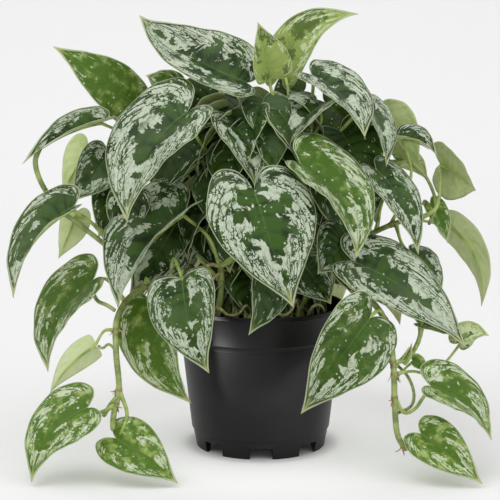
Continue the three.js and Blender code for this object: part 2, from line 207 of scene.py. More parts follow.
def close_up(mesh, distance):
    """Joins corners that lie closer together than a distance in mm."""
    work = bmesh.new()
    work.from_mesh(mesh)
    bmesh.ops.remove_doubles(work, verts=work.verts, dist=distance * MM)
    work.to_mesh(mesh)
    work.free()


ASIDE = (0.31, 0.9, 0.17)  # a direction that no bar starts along


def tube(shape, line, radii, sides, look=0, **values):
    """Adds a round bar along a line, with a radius and the named values at each of the line's points."""
    tangents = unit(np.gradient(line, axis=0))
    side = np.cross(tangents[0], ASIDE)
    rings = []
    angles = np.linspace(0, 2 * math.pi, sides, endpoint=False)[:, None]
    for point, tangent, radius in zip(line, tangents, radii):
        side = unit(side - tangent * (side @ tangent))
        other = np.cross(tangent, side)
        rings.append(point + radius * (np.cos(angles) * side + np.sin(angles) * other))
    faces = []
    for ring in range(len(line) - 1):
        for k in range(sides):
            a, b = ring * sides + k, ring * sides + (k + 1) % sides
            faces.append((a, b, b + sides, a + sides))
    last = (len(line) - 1) * sides
    faces.append(tuple(range(sides - 1, -1, -1)))
    faces.append(tuple(range(last, last + sides)))
    spread = {name: np.repeat(value, sides, axis=0) for name, value in values.items()}
    shape.add(np.concatenate(rings), faces, look, **spread)


def grid_faces(index):
    """The four-sided faces of a grid of corner numbers."""
    return np.stack([index[:-1, :-1], index[1:, :-1], index[1:, 1:], index[:-1, 1:]], axis=-1).reshape(-1, 4)


def sheet(shape, upper, lower, looks=(0, 0), **values):
    """Adds a thin closed sheet between two grids of points, with named values for the grid's points."""
    rows, columns = upper.shape[:2]
    index = np.arange(rows * columns).reshape(rows, columns)
    under = index + rows * columns
    top = grid_faces(index)
    bottom = grid_faces(under)[:, [0, 3, 2, 1]]
    rim = []
    for line, other, flip in (
        (index[:, 0], under[:, 0], False), (index[:, -1], under[:, -1], True),
        (index[0], under[0], True), (index[-1], under[-1], False),
    ):
        quads = np.stack([line[:-1], other[:-1], other[1:], line[1:]], axis=-1)
        rim.append(quads[:, ::-1] if flip else quads)
    rim = np.concatenate(rim)
    looks = [looks[0]] * len(top) + [looks[1]] * (len(bottom) + len(rim))
    doubled = {name: np.concatenate([value.reshape(-1, 3)] * 2) for name, value in values.items()}
    shape.add(np.concatenate([upper.reshape(-1, 3), lower.reshape(-1, 3)]),
              np.concatenate([top, bottom, rim]), looks, **doubled)


# ---- material nodes ----


class Value:
    """A number that a node puts out. Arithmetic with it adds further nodes."""

    def __init__(self, tree, socket):
        self.tree = tree
        self.socket = socket

    def __add__(self, other):
        return self.tree.math("ADD", self, other)

    def __sub__(self, other):
        return self.tree.math("SUBTRACT", self, other)

    def __mul__(self, other):
        return self.tree.math("MULTIPLY", self, other)

    def __pow__(self, other):
        return self.tree.math("POWER", self, other)

    def __abs__(self):
        return self.tree.math("ABSOLUTE", self)


class Nodes:
    """A node tree, with a short way to add each kind of node."""

    def __init__(self, tree):
        self.nodes = tree.nodes
        self.links = tree.links

    def add(self, kind, settings=None, **inputs):
        """Adds a node with its settings. An input is a plain value or another node's output.

        It goes by its name, or as i0, i1 and so on where several inputs share a name.
        """
        node = self.nodes.new(kind)
        for name, value in (settings or {}).items():
            setattr(node, name, value)
        for name, value in inputs.items():
            self.feed(node.inputs[int(name[1:]) if name[1:].isdigit() else name.replace("_", " ")], value)
        return node

    def feed(self, socket, value):
        """Links an output to a socket, or sets a plain value on it."""
        if isinstance(value, Value):
            value = value.socket
        if isinstance(value, bpy.types.NodeSocket):
            self.links.new(value, socket)
        else:
            socket.default_value = value

    def parts(self, vector):
        """The three numbers of a vector."""
        return [Value(self, output) for output in self.add("ShaderNodeSeparateXYZ", Vector=vector).outputs]

    def vector(self, x, y, z):
        """The vector that three numbers make up."""
        return self.add("ShaderNodeCombineXYZ", X=x, Y=y, Z=z).outputs[0]

    def math(self, operation, a, b=0.0):
        """The result of one operation on two numbers, or on one."""
        return Value(self, self.add("ShaderNodeMath", {"operation": operation}, i0=a, i1=b).outputs[0])

    def ramp(self, value, start, end, low=0.0, high=1.0):
        """A smooth change from low where the value is at start to high where it is at end."""
        node = self.add("ShaderNodeMapRange", {"interpolation_type": "SMOOTHSTEP"}, Value=value,
                        From_Min=start, From_Max=end, To_Min=low, To_Max=high)
        return Value(self, node.outputs[0])


class Look(Nodes):
    """A material's nodes, from the values that they start with to the shader."""

    def __init__(self, name):
        self.material = bpy.data.materials.new(name)
        self.material.use_nodes = True
        super().__init__(self.material.node_tree)
        self.shader = self.nodes["Principled BSDF"]

    def attribute(self, name):
        """The three numbers of a mesh attribute, and the vector itself."""
        vector = self.add("ShaderNodeAttribute", {"attribute_name": name}).outputs["Vector"]
        return (*self.parts(vector), vector)

    def place(self):
        """The place on the object, in metres."""
        return self.add("ShaderNodeTexCoord").outputs["Object"]

    def noise(self, vector, scale, detail=4.0, roughness=0.55, distortion=0.0):
        """Smooth noise from 0 to 1, mostly near a half."""
        node = self.add("ShaderNodeTexNoise", Vector=vector, Scale=scale, Detail=detail, Roughness=roughness,
                        Distortion=distortion)
        return Value(self, node.outputs[0])

    def cells(self, vector, scale, feature="F1"):
        """Distance to the middle or the edge of scattered cells."""
        node = self.add("ShaderNodeTexVoronoi", {"feature": feature}, Vector=vector, Scale=scale)
        return Value(self, node.outputs["Distance"])

    def step(self, value, low, high):
        """0 below low, 1 above high and a smooth rise between; it falls if low is the larger."""
        return self.ramp(value, low, high) if low < high else self.ramp(value, high, low, 1.0, 0.0)

    def blend(self, amount, a, b):
        """Colour a where amount is 0 and b where it is 1."""
        a, b = ((*color, 1.0) if isinstance(color, tuple) else color for color in (a, b))
        # the inputs and outputs of a mix are those for numbers first, then those for vectors and for colours
        node = self.add("ShaderNodeMix", {"data_type": "RGBA"}, i0=amount, i6=a, i7=b)
        return node.outputs[2]

    def between(self, amount, a, b):
        """Number a where amount is 0 and b where it is 1."""
        node = self.add("ShaderNodeMix", {"data_type": "FLOAT"}, i0=amount, i2=a, i3=b)
        return Value(self, node.outputs[0])

    def finish(self, color, roughness, height=None, bump=0.0, distance=0.0005, **constants):
        """Feeds the shader. Height gives the surface its fine relief."""
        self.feed(self.shader.inputs["Base Color"], color)
        self.feed(self.shader.inputs["Roughness"], roughness)
        for name, value in constants.items():
            self.shader.inputs[name.replace("_", " ")].default_value = value
        if height is not None:
            node = self.add("ShaderNodeBump", Strength=bump, Distance=distance, Height=height)
            self.links.new(node.outputs[0], self.shader.inputs["Normal"])
        return self.material


class LeafLook(Look):
    """A look with what every blade's mesh carries."""

    def __init__(self, name):
        super().__init__(name)
        # line is the same all along a side vein, from 0 at the notch to 1 at the tip,
        # and reach goes from 0 at the midrib to 1 at the margin
        self.line, self.reach, self.from_margin, _ = self.attribute("vein")
        _, self.from_midrib, _, self.flat = self.attribute("flat")
        self.silver, self.fresh, self.seed, _ = self.attribute("tone")
        self.from_vein = self.math("PINGPONG", self.line * (2 * SIDE_VEINS), 1.0)


# ---- materials ----

BLACK = (0.0, 0.0, 0.0)
WHITE = (1.0, 1.0, 1.0)
DARK_GREEN = (0.008, 0.024, 0.004)
MID_GREEN = (0.036, 0.086, 0.010)
# painted sheen: the lighter, greyer green that stands in for the satin's highlight
PAINTED_SHEEN_GREEN = (0.062, 0.108, 0.038)
FRESH_GREEN = (0.070, 0.150, 0.010)
LIME_GREEN = (0.33, 0.43, 0.12)
SILVER = (0.47, 0.53, 0.42)
SILVER_SHADE = (0.32, 0.38, 0.27)
FRESH_SILVER = (0.56, 0.64, 0.36)
MARGIN_PALE = (0.46, 0.52, 0.32)
RIB_GREEN = (0.12, 0.20, 0.06)
UNDER_GREEN = (0.33, 0.47, 0.13)
UNDER_PALE = (0.52, 0.62, 0.28)
UNDER_FRESH = (0.56, 0.63, 0.38)
STALK_PALE = (0.41, 0.50, 0.15)
STALK_DEEP = (0.17, 0.26, 0.05)
STEM_PALE = (0.33, 0.39, 0.14)
STEM_DEEP = (0.14, 0.20, 0.05)
BARK_BROWN = (0.20, 0.14, 0.06)
TIP_YELLOW = (0.45, 0.44, 0.16)
HUSK_DEEP = (0.10, 0.05, 0.02)
HUSK_PALE = (0.36, 0.24, 0.11)
ROOT_PALE = (0.42, 0.38, 0.20)
ROOT_DEEP = (0.22, 0.17, 0.08)
POT_BLACK = (0.0015, 0.0015, 0.0018)
POT_DUSTY = (0.0035, 0.0035, 0.004)
SOIL_DEEP = (0.014, 0.009, 0.006)
SOIL_PALE = (0.075, 0.046, 0.026)
SOIL_FLECK = (0.20, 0.14, 0.08)
PAPER_DEEP = (0.81, 0.81, 0.81)
PAPER_PALE = (0.82, 0.82, 0.82)

# sizes of the leaf patterns' features, as how many there are to a mm
SHEEN_SCALE = 0.022
CLOUD_SCALE = 0.04
SPECK_FIELD_SCALE = 0.05
PATCH_SCALE = 0.055
BLOTCH_SCALE = 0.065
GAP_SCALE = 0.10
MOTTLE_SCALE = 0.11
SPECK_SCALE = 0.17
DRIFT_SCALE = 0.2
METAL_SCALE = 0.3


def silver_cover(look):
    """Where the upper side is silver: blotches, streaks and specks, parted by dark lines."""
    line, reach, flat, seed = look.line, look.reach, look.flat, look.seed

    # blotches lie anyhow near the middle and draw out along the side veins near the margin
    swept = line - reach**3.0 * 0.14
    blotch = look.noise(flat, BLOTCH_SCALE, detail=5, roughness=0.62, distortion=0.6)
    streak = look.noise(look.vector(swept * 11, reach * 3.6, seed), 1.0, roughness=0.60, distortion=0.6)
    pattern = look.between(look.step(reach, 0.35, 0.9), blotch, streak)

    # the pattern is silver past a level, which falls towards the margin and the tip and rises on the lobes
    level = look.between(look.step(reach, 0.10, 0.50), 0.68, 0.54)
    level = look.between(look.step(reach, 0.5, 0.95), level, 0.455)
    level = level - look.step(line, 0.6, 0.95) * 0.12 + look.step(line, 0.35, 0.1) * 0.05
    level = level - (look.silver - 0.5) * 0.28
    cover = look.step(pattern - level, -0.010, 0.012)

    # dark lines part the silver into cells that lie along the side veins, and break off here and there
    drift = look.noise(flat, DRIFT_SCALE, detail=3)
    cell_place = look.vector(swept * 15 + drift * 1.2, reach * 5.5 + drift * 2.4, seed)
    border = look.cells(cell_place, 1.0, "DISTANCE_TO_EDGE")
    gaps = look.step(look.noise(flat, GAP_SCALE, detail=2), 0.54, 0.68)
    border_cut = look.step(border + gaps * 0.14, 0.06, 0.11)
    thread = look.noise(look.vector(swept * 15, reach * 3.0, seed), 1.0, roughness=0.5, distortion=0.6)
    thread_cut = look.between(look.step(line, 0.35, 0.75), 1.0, look.step(abs(thread - 0.5), 0.006, 0.018))
    cut = look.between(look.step(reach, 0.25, 0.6), 1.0, border_cut * thread_cut)
    cover = cover * cut * look.step(look.from_margin, 0.9, 1.6)

    speck = look.step(look.cells(flat, SPECK_SCALE), 0.20, 0.13)
    speck = speck * look.step(look.noise(flat, SPECK_FIELD_SCALE, detail=2), 0.47, 0.53)
    return look.math("MAXIMUM", cover, speck * 0.85)


def green_ground(look):
    """The green that the silver lies on, and the yellow-green of fresh leaves."""
    line, reach, flat, fresh = look.line, look.reach, look.flat, look.fresh

    # lighter between the veins and in clouds, and lighter still in patches of painted sheen where the satin
    # would catch the light
    cloud = look.noise(flat, CLOUD_SCALE) + (look.step(look.from_vein, 0.0, 0.6) * 0.14 - 0.08)
    green = look.blend(look.step(cloud, 0.34, 0.66), DARK_GREEN, MID_GREEN)
    # painted sheen, in broad patches
    satin = look.step(look.noise(flat, SHEEN_SCALE, detail=3), 0.46, 0.66) * 0.7
    green = look.blend(satin, green, PAINTED_SHEEN_GREEN)
    green = look.blend(look.step(line, 0.22, -0.02), green, DARK_GREEN)

    # fresh leaves are mottled with lime, and the freshest are lime with darker patches
    mottle = look.noise(flat, MOTTLE_SCALE, detail=6, roughness=0.62) + fresh * 0.12
    lime = look.step(mottle, 0.50, 0.76) * look.step(reach, 0.0, 0.3)
    fresher = look.blend(lime, FRESH_GREEN, LIME_GREEN)
    fresher = look.blend(look.step(fresh, 0.5, 1.0), fresher, LIME_GREEN)
    patch = look.step(look.noise(flat, PATCH_SCALE, detail=5, roughness=0.6), 0.50, 0.57)
    patch = patch * look.step(fresh, 0.5, 0.75)
    fresher = look.blend(patch * 0.75, fresher, MID_GREEN)
    return look.blend(look.step(fresh, 0.0, 0.5), green, fresher)


def leaf_upper():
    """The upper side: green with patches of painted sheen under silver, with a pale margin and a withered
    point.
    """
    look = LeafLook("leaf_upper")
    cover = silver_cover(look)
    metal = look.blend(look.step(look.noise(look.flat, METAL_SCALE), 0.25, 0.6), SILVER_SHADE, SILVER)
    metal = look.blend(look.fresh, metal, FRESH_SILVER)
    color = look.blend(cover, green_ground(look), metal)
    rib = look.step(abs(look.from_midrib), 1.2, 0.3) * look.step(look.line, 0.95, 0.1)
    color = look.blend(rib * 0.7, color, RIB_GREEN)
    color = look.blend(look.step(look.from_margin, 0.8, 0.4) * 0.85, color, MARGIN_PALE)
    color = look.blend(look.step(look.line, 0.90, 0.99) * 0.75, color, TIP_YELLOW)
    height = look.step(look.from_vein, 0.0, 0.35) + look.noise(look.flat, 1.3, detail=2) * 0.7
    return look.finish(color, look.between(cover, 0.42, 0.55), height, bump=0.45, distance=0.0004,
                       Specular_IOR_Level=0.18, Sheen_Weight=0.04, Sheen_Roughness=0.4,
                       Subsurface_Weight=0.05, Subsurface_Scale=0.002)


def leaf_under():
    """The underside: matte and paler, with raised veins and the silver faintly showing through."""
    look = LeafLook("leaf_under")
    color = look.blend(look.step(look.noise(look.flat, 0.06), 0.3, 0.7), UNDER_GREEN, UNDER_PALE)
    color = look.blend(look.fresh, color, UNDER_FRESH)
    streak_place = look.vector(look.line * 14, look.reach * 3.6, look.seed)
    streak = look.noise(streak_place, 1.0, detail=6, roughness=0.66, distortion=0.5)
    through = look.step(streak, 0.46, 0.58) * look.step(look.reach, 0.1, 0.6)
    through = through * look.between(look.silver, 0.25, 0.75)
    color = look.blend(through, color, UNDER_FRESH)
    color = look.blend(look.step(look.from_vein, 0.22, 0.0) * 0.35, color, UNDER_FRESH)
    color = look.blend(look.step(abs(look.from_midrib), 2.2, 0.8) * 0.5, color, STALK_PALE)
    color = look.blend(look.step(look.from_margin, 0.9, 0.4) * 0.8, color, MARGIN_PALE)
    height = look.step(look.from_vein, 0.3, 0.0) + look.noise(look.flat, 1.1, detail=3) * 0.8
    return look.finish(color, 0.55, height, bump=0.4, distance=0.0004, Specular_IOR_Level=0.35,
                       Subsurface_Weight=0.08, Subsurface_Scale=0.002)


def stalk_skin():
    """Leaf stalks: smooth, pale yellow-green, finely streaked lengthwise."""
    look = Look("stalk_skin")
    along, _, seed, _ = look.attribute("flat")
    streak = look.noise(look.vector(along * 0.05, 0.0, seed), 2.0)
    color = look.blend(look.step(streak, 0.35, 0.7), STALK_PALE, STALK_DEEP)
    return look.finish(color, 0.42, look.noise(look.place(), 900, detail=2), bump=0.15, distance=0.0003,
                       Specular_IOR_Level=0.45, Subsurface_Weight=0.08, Subsurface_Scale=0.002)


def stem_bark():
    """Stems: green with corky brown rings at the joints."""
    look = Look("stem_bark")
    along, from_joint, seed, _ = look.attribute("flat")
    rough = look.noise(look.place(), 260, detail=5, roughness=0.6)
    streak = look.noise(look.vector(along * 0.03, seed, rough), 3.0, detail=3)
    color = look.blend(look.step(streak, 0.35, 0.68), STEM_PALE, STEM_DEEP)
    brown = look.step(from_joint + rough * 4.0, 4.6, 2.2)
    color = look.blend(brown * 0.65, color, BARK_BROWN)
    return look.finish(color, look.between(brown, 0.42, 0.75), rough, bump=0.35, distance=0.0006,
                       Specular_IOR_Level=0.4)


def dry_husk():
    """Papery brown remains of old leaf sheaths."""
    look = Look("dry_husk")
    grain = look.noise(look.place(), 420, detail=5, roughness=0.65)
    color = look.blend(look.step(grain, 0.35, 0.65), HUSK_DEEP, HUSK_PALE)
    return look.finish(color, 0.8, grain, bump=0.5)


def root_skin():
    """Pale, slightly rough roots."""
    look = Look("root_skin")
    grain = look.noise(look.place(), 350, roughness=0.6)
    color = look.blend(look.step(grain, 0.4, 0.65), ROOT_PALE, ROOT_DEEP)
    return look.finish(color, 0.65, grain, bump=0.4, distance=0.0004)


def pot_plastic():
    """Satin black moulded plastic with a fine grain and faint dust."""
    look = Look("pot_plastic")
    place = look.place()
    dust = look.noise(place, 26, detail=6, roughness=0.62)
    color = look.blend(look.step(dust, 0.45, 0.75), POT_BLACK, POT_DUSTY)
    return look.finish(color, look.between(dust, 0.36, 0.50), look.noise(place, 900, detail=3), bump=0.12,
                       distance=0.0003, Specular_IOR_Level=0.26)


def potting_soil():
    """Dark crumbly soil with lighter fibres and specks."""
    look = Look("potting_soil")
    place = look.place()
    grain = look.noise(place, 320, detail=6, roughness=0.7)
    color = look.blend(look.step(grain, 0.35, 0.7), SOIL_DEEP, SOIL_PALE)
    color = look.blend(look.step(look.cells(place, 260), 0.20, 0.12) * 0.7, color, SOIL_FLECK)
    return look.finish(color, 0.92, grain, bump=0.8, distance=0.0015, Specular_IOR_Level=0.2)


def studio_floor():
    """Plain pale paper with painted light: it glows a little round the pot's foot, where the plant shades it,
    and faintly far from the plant.
    """
    look = Look("studio_floor")
    place = look.place()
    color = look.blend(look.noise(place, 60, detail=3), PAPER_DEEP, PAPER_PALE)
    length = look.add("ShaderNodeVectorMath", {"operation": "LENGTH"}, i0=place)
    from_pot = Value(look, length.outputs["Value"])
    # painted light: the floor glows to lighten the shade round the pot's foot and to brighten the far floor a
    # little
    near = look.step(from_pot, 0.060, 0.080) * look.step(from_pot, 0.22, 0.08)
    painted_glow = near * 0.26 + look.step(from_pot, 0.3, 2.4) * 0.12
    look.feed(look.shader.inputs["Emission Color"], look.blend(painted_glow, BLACK, WHITE))
    return look.finish(color, 0.8, Specular_IOR_Level=0.1, Emission_Strength=1.0)


LEAF_LOOKS = [leaf_upper(), leaf_under(), stalk_skin()]
STEM_LOOK = stem_bark()
HUSK_LOOK = dry_husk()
ROOT_LOOK = root_skin()

# ---- pot ----


def pot_profile():
    """The pot's cut through, as (radius, height), from under its floor round the outside to inside."""
    corners = [  # where each corner is, and how far out and up from there the points lie that shape it
        ((FOOT_RADIUS, FLOOR_UNDERSIDE), [(-4.4, 0), (-3.9, -0.6)]),
        ((FOOT_RADIUS, 0), [(-2.7, 0.5), (-2.3, 0), (-0.3, 0), (0, 0.5)]),
        ((BODY_FOOT_RADIUS, FOOT_RING_HEIGHT), [(-1.2, -1), (-0.9, -0.5), (-0.3, -0.2), (0, 0.3)]),
        ((BODY_TOP_RADIUS, COLLAR_BOTTOM), [(-0.5, -5.5), (0.1, -5), (0.2, -1.2), (0.4, -0.9)]),
        ((COLLAR_RADIUS, COLLAR_BOTTOM), [(-0.5, -0.3), (0, 0.3)]),
        ((POT_RADIUS, RIM_BOTTOM), [(-1.1, -0.6), (-0.9, -0.2), (0, 0.4)]),
    ]
    outside = [(radius + out, height + up) for (radius, height), points in corners for out, up in points]
    lip = POT_WALL / 2
    bead = [(POT_RADIUS - lip + lip * math.cos(turn), POT_HEIGHT - lip + lip * math.sin(turn))
            for turn in np.radians(np.linspace(0, 180, 9))]
    inside = [
        (COLLAR_RADIUS - POT_WALL, COLLAR_BOTTOM), (BODY_TOP_RADIUS - POT_WALL, COLLAR_BOTTOM - 2),
        (BODY_FOOT_RADIUS - POT_WALL, FOOT_RING_HEIGHT), (FOOT_RADIUS - 1.5, FLOOR_TOP), (0, FLOOR_TOP),
    ]
    return [(0, FLOOR_UNDERSIDE), *outside, *bead, *inside]


def turned(shape, profile, sides):
    """Adds a body of revolution about the pot's axis."""
    profile = np.array(profile, float)
    angles = np.linspace(0, 2 * math.pi, sides, endpoint=False)[:, None]
    rings = np.stack([profile[:, 0] * np.cos(angles), profile[:, 0] * np.sin(angles),
                      profile[:, 1] * np.ones_like(angles)], axis=-1)
    index = np.arange(sides * len(profile)).reshape(sides, len(profile))
    shape.add(rings, grid_faces(np.vstack([index, index[:1]])))


def wedge(shape, angle):
    """Adds the block that opens one gap between two feet."""
    half = math.radians(NOTCH_ANGLE / 2)
    turns = np.linspace(angle - half, angle + half, 7)
    outer = [(POT_RADIUS * math.cos(turn), POT_RADIUS * math.sin(turn)) for turn in turns]
    inner = [(DRAIN_SLOT_INNER_RADIUS * math.cos(turn), DRAIN_SLOT_INNER_RADIUS * math.sin(turn))
             for turn in turns[::-1]]
    size = len(outer + inner)
    points = [(x, y, z) for z in (-2, FLOOR_TOP + 1) for x, y in outer + inner]
    faces = [tuple(range(size - 1, -1, -1)), tuple(range(size, 2 * size))]
    faces += [(k, (k + 1) % size, (k + 1) % size + size, k + size) for k in range(size)]
    shape.add(points, faces)


def cut_away(piece, tool):
    """Cuts one object out of another and removes the cutter."""
    modifier = piece.modifiers.new("cut", "BOOLEAN")
    modifier.operation = "DIFFERENCE"
    modifier.solver = "EXACT"
    modifier.object = tool
    result = bpy.data.meshes.new_from_object(piece.evaluated_get(bpy.context.evaluated_depsgraph_get()))
    piece.modifiers.remove(modifier)
    piece.data = result
    bpy.data.objects.remove(tool)


def make_pot():
    """The moulded shell, with the gaps between its feet cut out."""
    shell = Shape()
    turned(shell, pot_profile(), POT_SIDES)
    pot = shell.build("nursery_pot", [pot_plastic()], replaces="pot", merge=0.01)
    gaps = Shape()
    for foot in range(FEET):
        wedge(gaps, 2 * math.pi * foot / FEET - math.pi / 2)
    cut_away(pot, new_object("drain_wedges", gaps.mesh("drain_wedges")))
    pot.data.set_sharp_from_angle(angle=math.radians(35))
    return pot


POT = make_pot()

# ---- soil ----


def crumb(shape, middle, size, rng):
    """Adds one uneven lump with eight corners."""
    corners = np.array([(x, y, z) for x in (-1, 1) for y in (-1, 1) for z in (-1, 1)], float)
    corners = middle + size * 0.6 * corners * rng.uniform(0.6, 1.2, corners.shape)
    faces = [(0, 1, 3, 2), (4, 6, 7, 5), (0, 4, 5, 1), (2, 3, 7, 6), (0, 2, 6, 4), (1, 5, 7, 3)]
    shape.add(corners, faces)


def make_soil():
    """A crumbly disc that closes the pot, its edge a little lower than its middle."""
    rng = np.random.default_rng(4)
    rings, sides, depth, waves, crumbs = 46, 150, 12, 60, 420
    middle_drop, edge_drop = 1.4, 2.2
    share = np.linspace(0, 1, rings)[None, :]
    angle = np.linspace(0, 2 * math.pi, sides, endpoint=False)[:, None]
    radius = SOIL_RADIUS * share * np.ones_like(angle)
    x, y = radius * np.cos(angle), radius * np.sin(angle)
    lumps = np.zeros_like(radius)
    for _ in range(waves):
        wave = rng.normal(0, 0.16, 2)
        phase = rng.uniform(0, 2 * math.pi)
        lumps += np.sin(x * wave[0] + y * wave[1] + phase)
    lumps = 0.16 * lumps + rng.normal(0, 0.35, radius.shape)
    level = SOIL_TOP - middle_drop - edge_drop * share**4 + lumps * clipped(share * 20)
    top = np.stack([x, y, np.minimum(level, SOIL_TOP + 1)], axis=-1)
    foot = top.copy()
    foot[..., 2] = SOIL_TOP - depth
    shape = Shape()
    closed = [np.concatenate([grid, grid[:1]]) for grid in (top, foot)]
    sheet(shape, closed[0][:, ::-1], closed[1][:, ::-1])
    for _ in range(crumbs):
        turn, out = rng.uniform(0, 2 * math.pi), SOIL_RADIUS * 0.97 * math.sqrt(rng.uniform())
        size = rng.uniform(0.7, 2.3)
        crumb(shape, np.array([out * math.cos(turn), out * math.sin(turn), SOIL_TOP - 0.8]), size, rng)
    shape.build("soil_surface", [potting_soil()], replaces="soil", merge=0.01)


make_soil()

# ---- stems: the points each one runs through, from the soil outwards ----


def sprout(x, y):
    """The upright first stretch of whatever grows out of the soil."""
    return [[x, y, SOIL_TOP + 0.3], [x, y, SOIL_TOP + 8.3]]


STEMS = {
    "vine_left": dict(radius=2.8, path=[
        *sprout(-23, -10), [-48, -19, 158], [-80, -31, 162], [-112, -52, 153], [-127, -72, 134],
        [-127, -92, 108], [-124, -102, 77], [-128, -109, 57], [-129, -114, 42]]),
    "vine_right": dict(radius=2.8, path=[
        *sprout(31, -10), [58, -25, 159], [87, -60, 156], [109, -84, 133], [115, -97, 98],
        [116, -106, 63], [118, -114, 39], [126, -116, 25]]),
    "stem_front": dict(radius=3, path=[*sprout(-39, -48), [-36, -44, 153], [-36, -41, 177]]),
    "crown_left": dict(radius=2.6, path=[
        *sprout(-14, 0), [-39, 0, 192], [-44, 0, 238], [-32, 2, 271], [-9, 4, 298]]),
    "crown_right": dict(radius=2.6, path=[
        *sprout(22, 5), [41, 5, 191], [47, 5, 238], [40, 8, 284], [26, 10, 320]]),
    "side_left": dict(radius=2.6, path=[*sprout(-33, 15), [-79, 5, 177], [-120, -10, 189], [-135, -22, 186]]),
    "side_right": dict(radius=2.6, path=[*sprout(37, 20), [79, 15, 180], [120, 8, 205], [151, 5, 213]]),
    "stem_back": dict(radius=2.6, path=[*sprout(0, 32), [1, 42, 180], [1, 42, 235], [1, 36, 300]]),
}


def stem_line(name):
    """A stem's middle line, with its points close together."""
    return smooth_line(STEMS[name]["path"], np.linspace(0, 1, 600))


def stem_point(name, share):
    """A point of a stem's middle line, by a share of its length."""
    line = stem_line(name)
    along = lengths_along(line)
    return np.array([np.interp(share * along[-1], along, line[:, axis]) for axis in range(3)])


# ---- leaves ----

# What a leaf has unless its row says otherwise. Angles are degrees, lengths mm.
USUAL = dict(
    fold=15,  # how far each half is raised from flat
    cup=-8,  # how far each half bends on its way out, down where negative
    rise=6,  # height of the midrib's arch
    sway=0,  # sideways bow of the midrib, to the left as seen from the notch
    lobe=1,  # length of the lobes behind the notch
    via=None,  # points the stalk runs through
    silver=0.55,  # share of the blade that is silver
    fresh=0.05,  # how young and yellow-green the blade is
    slot="leaf_silver",
)

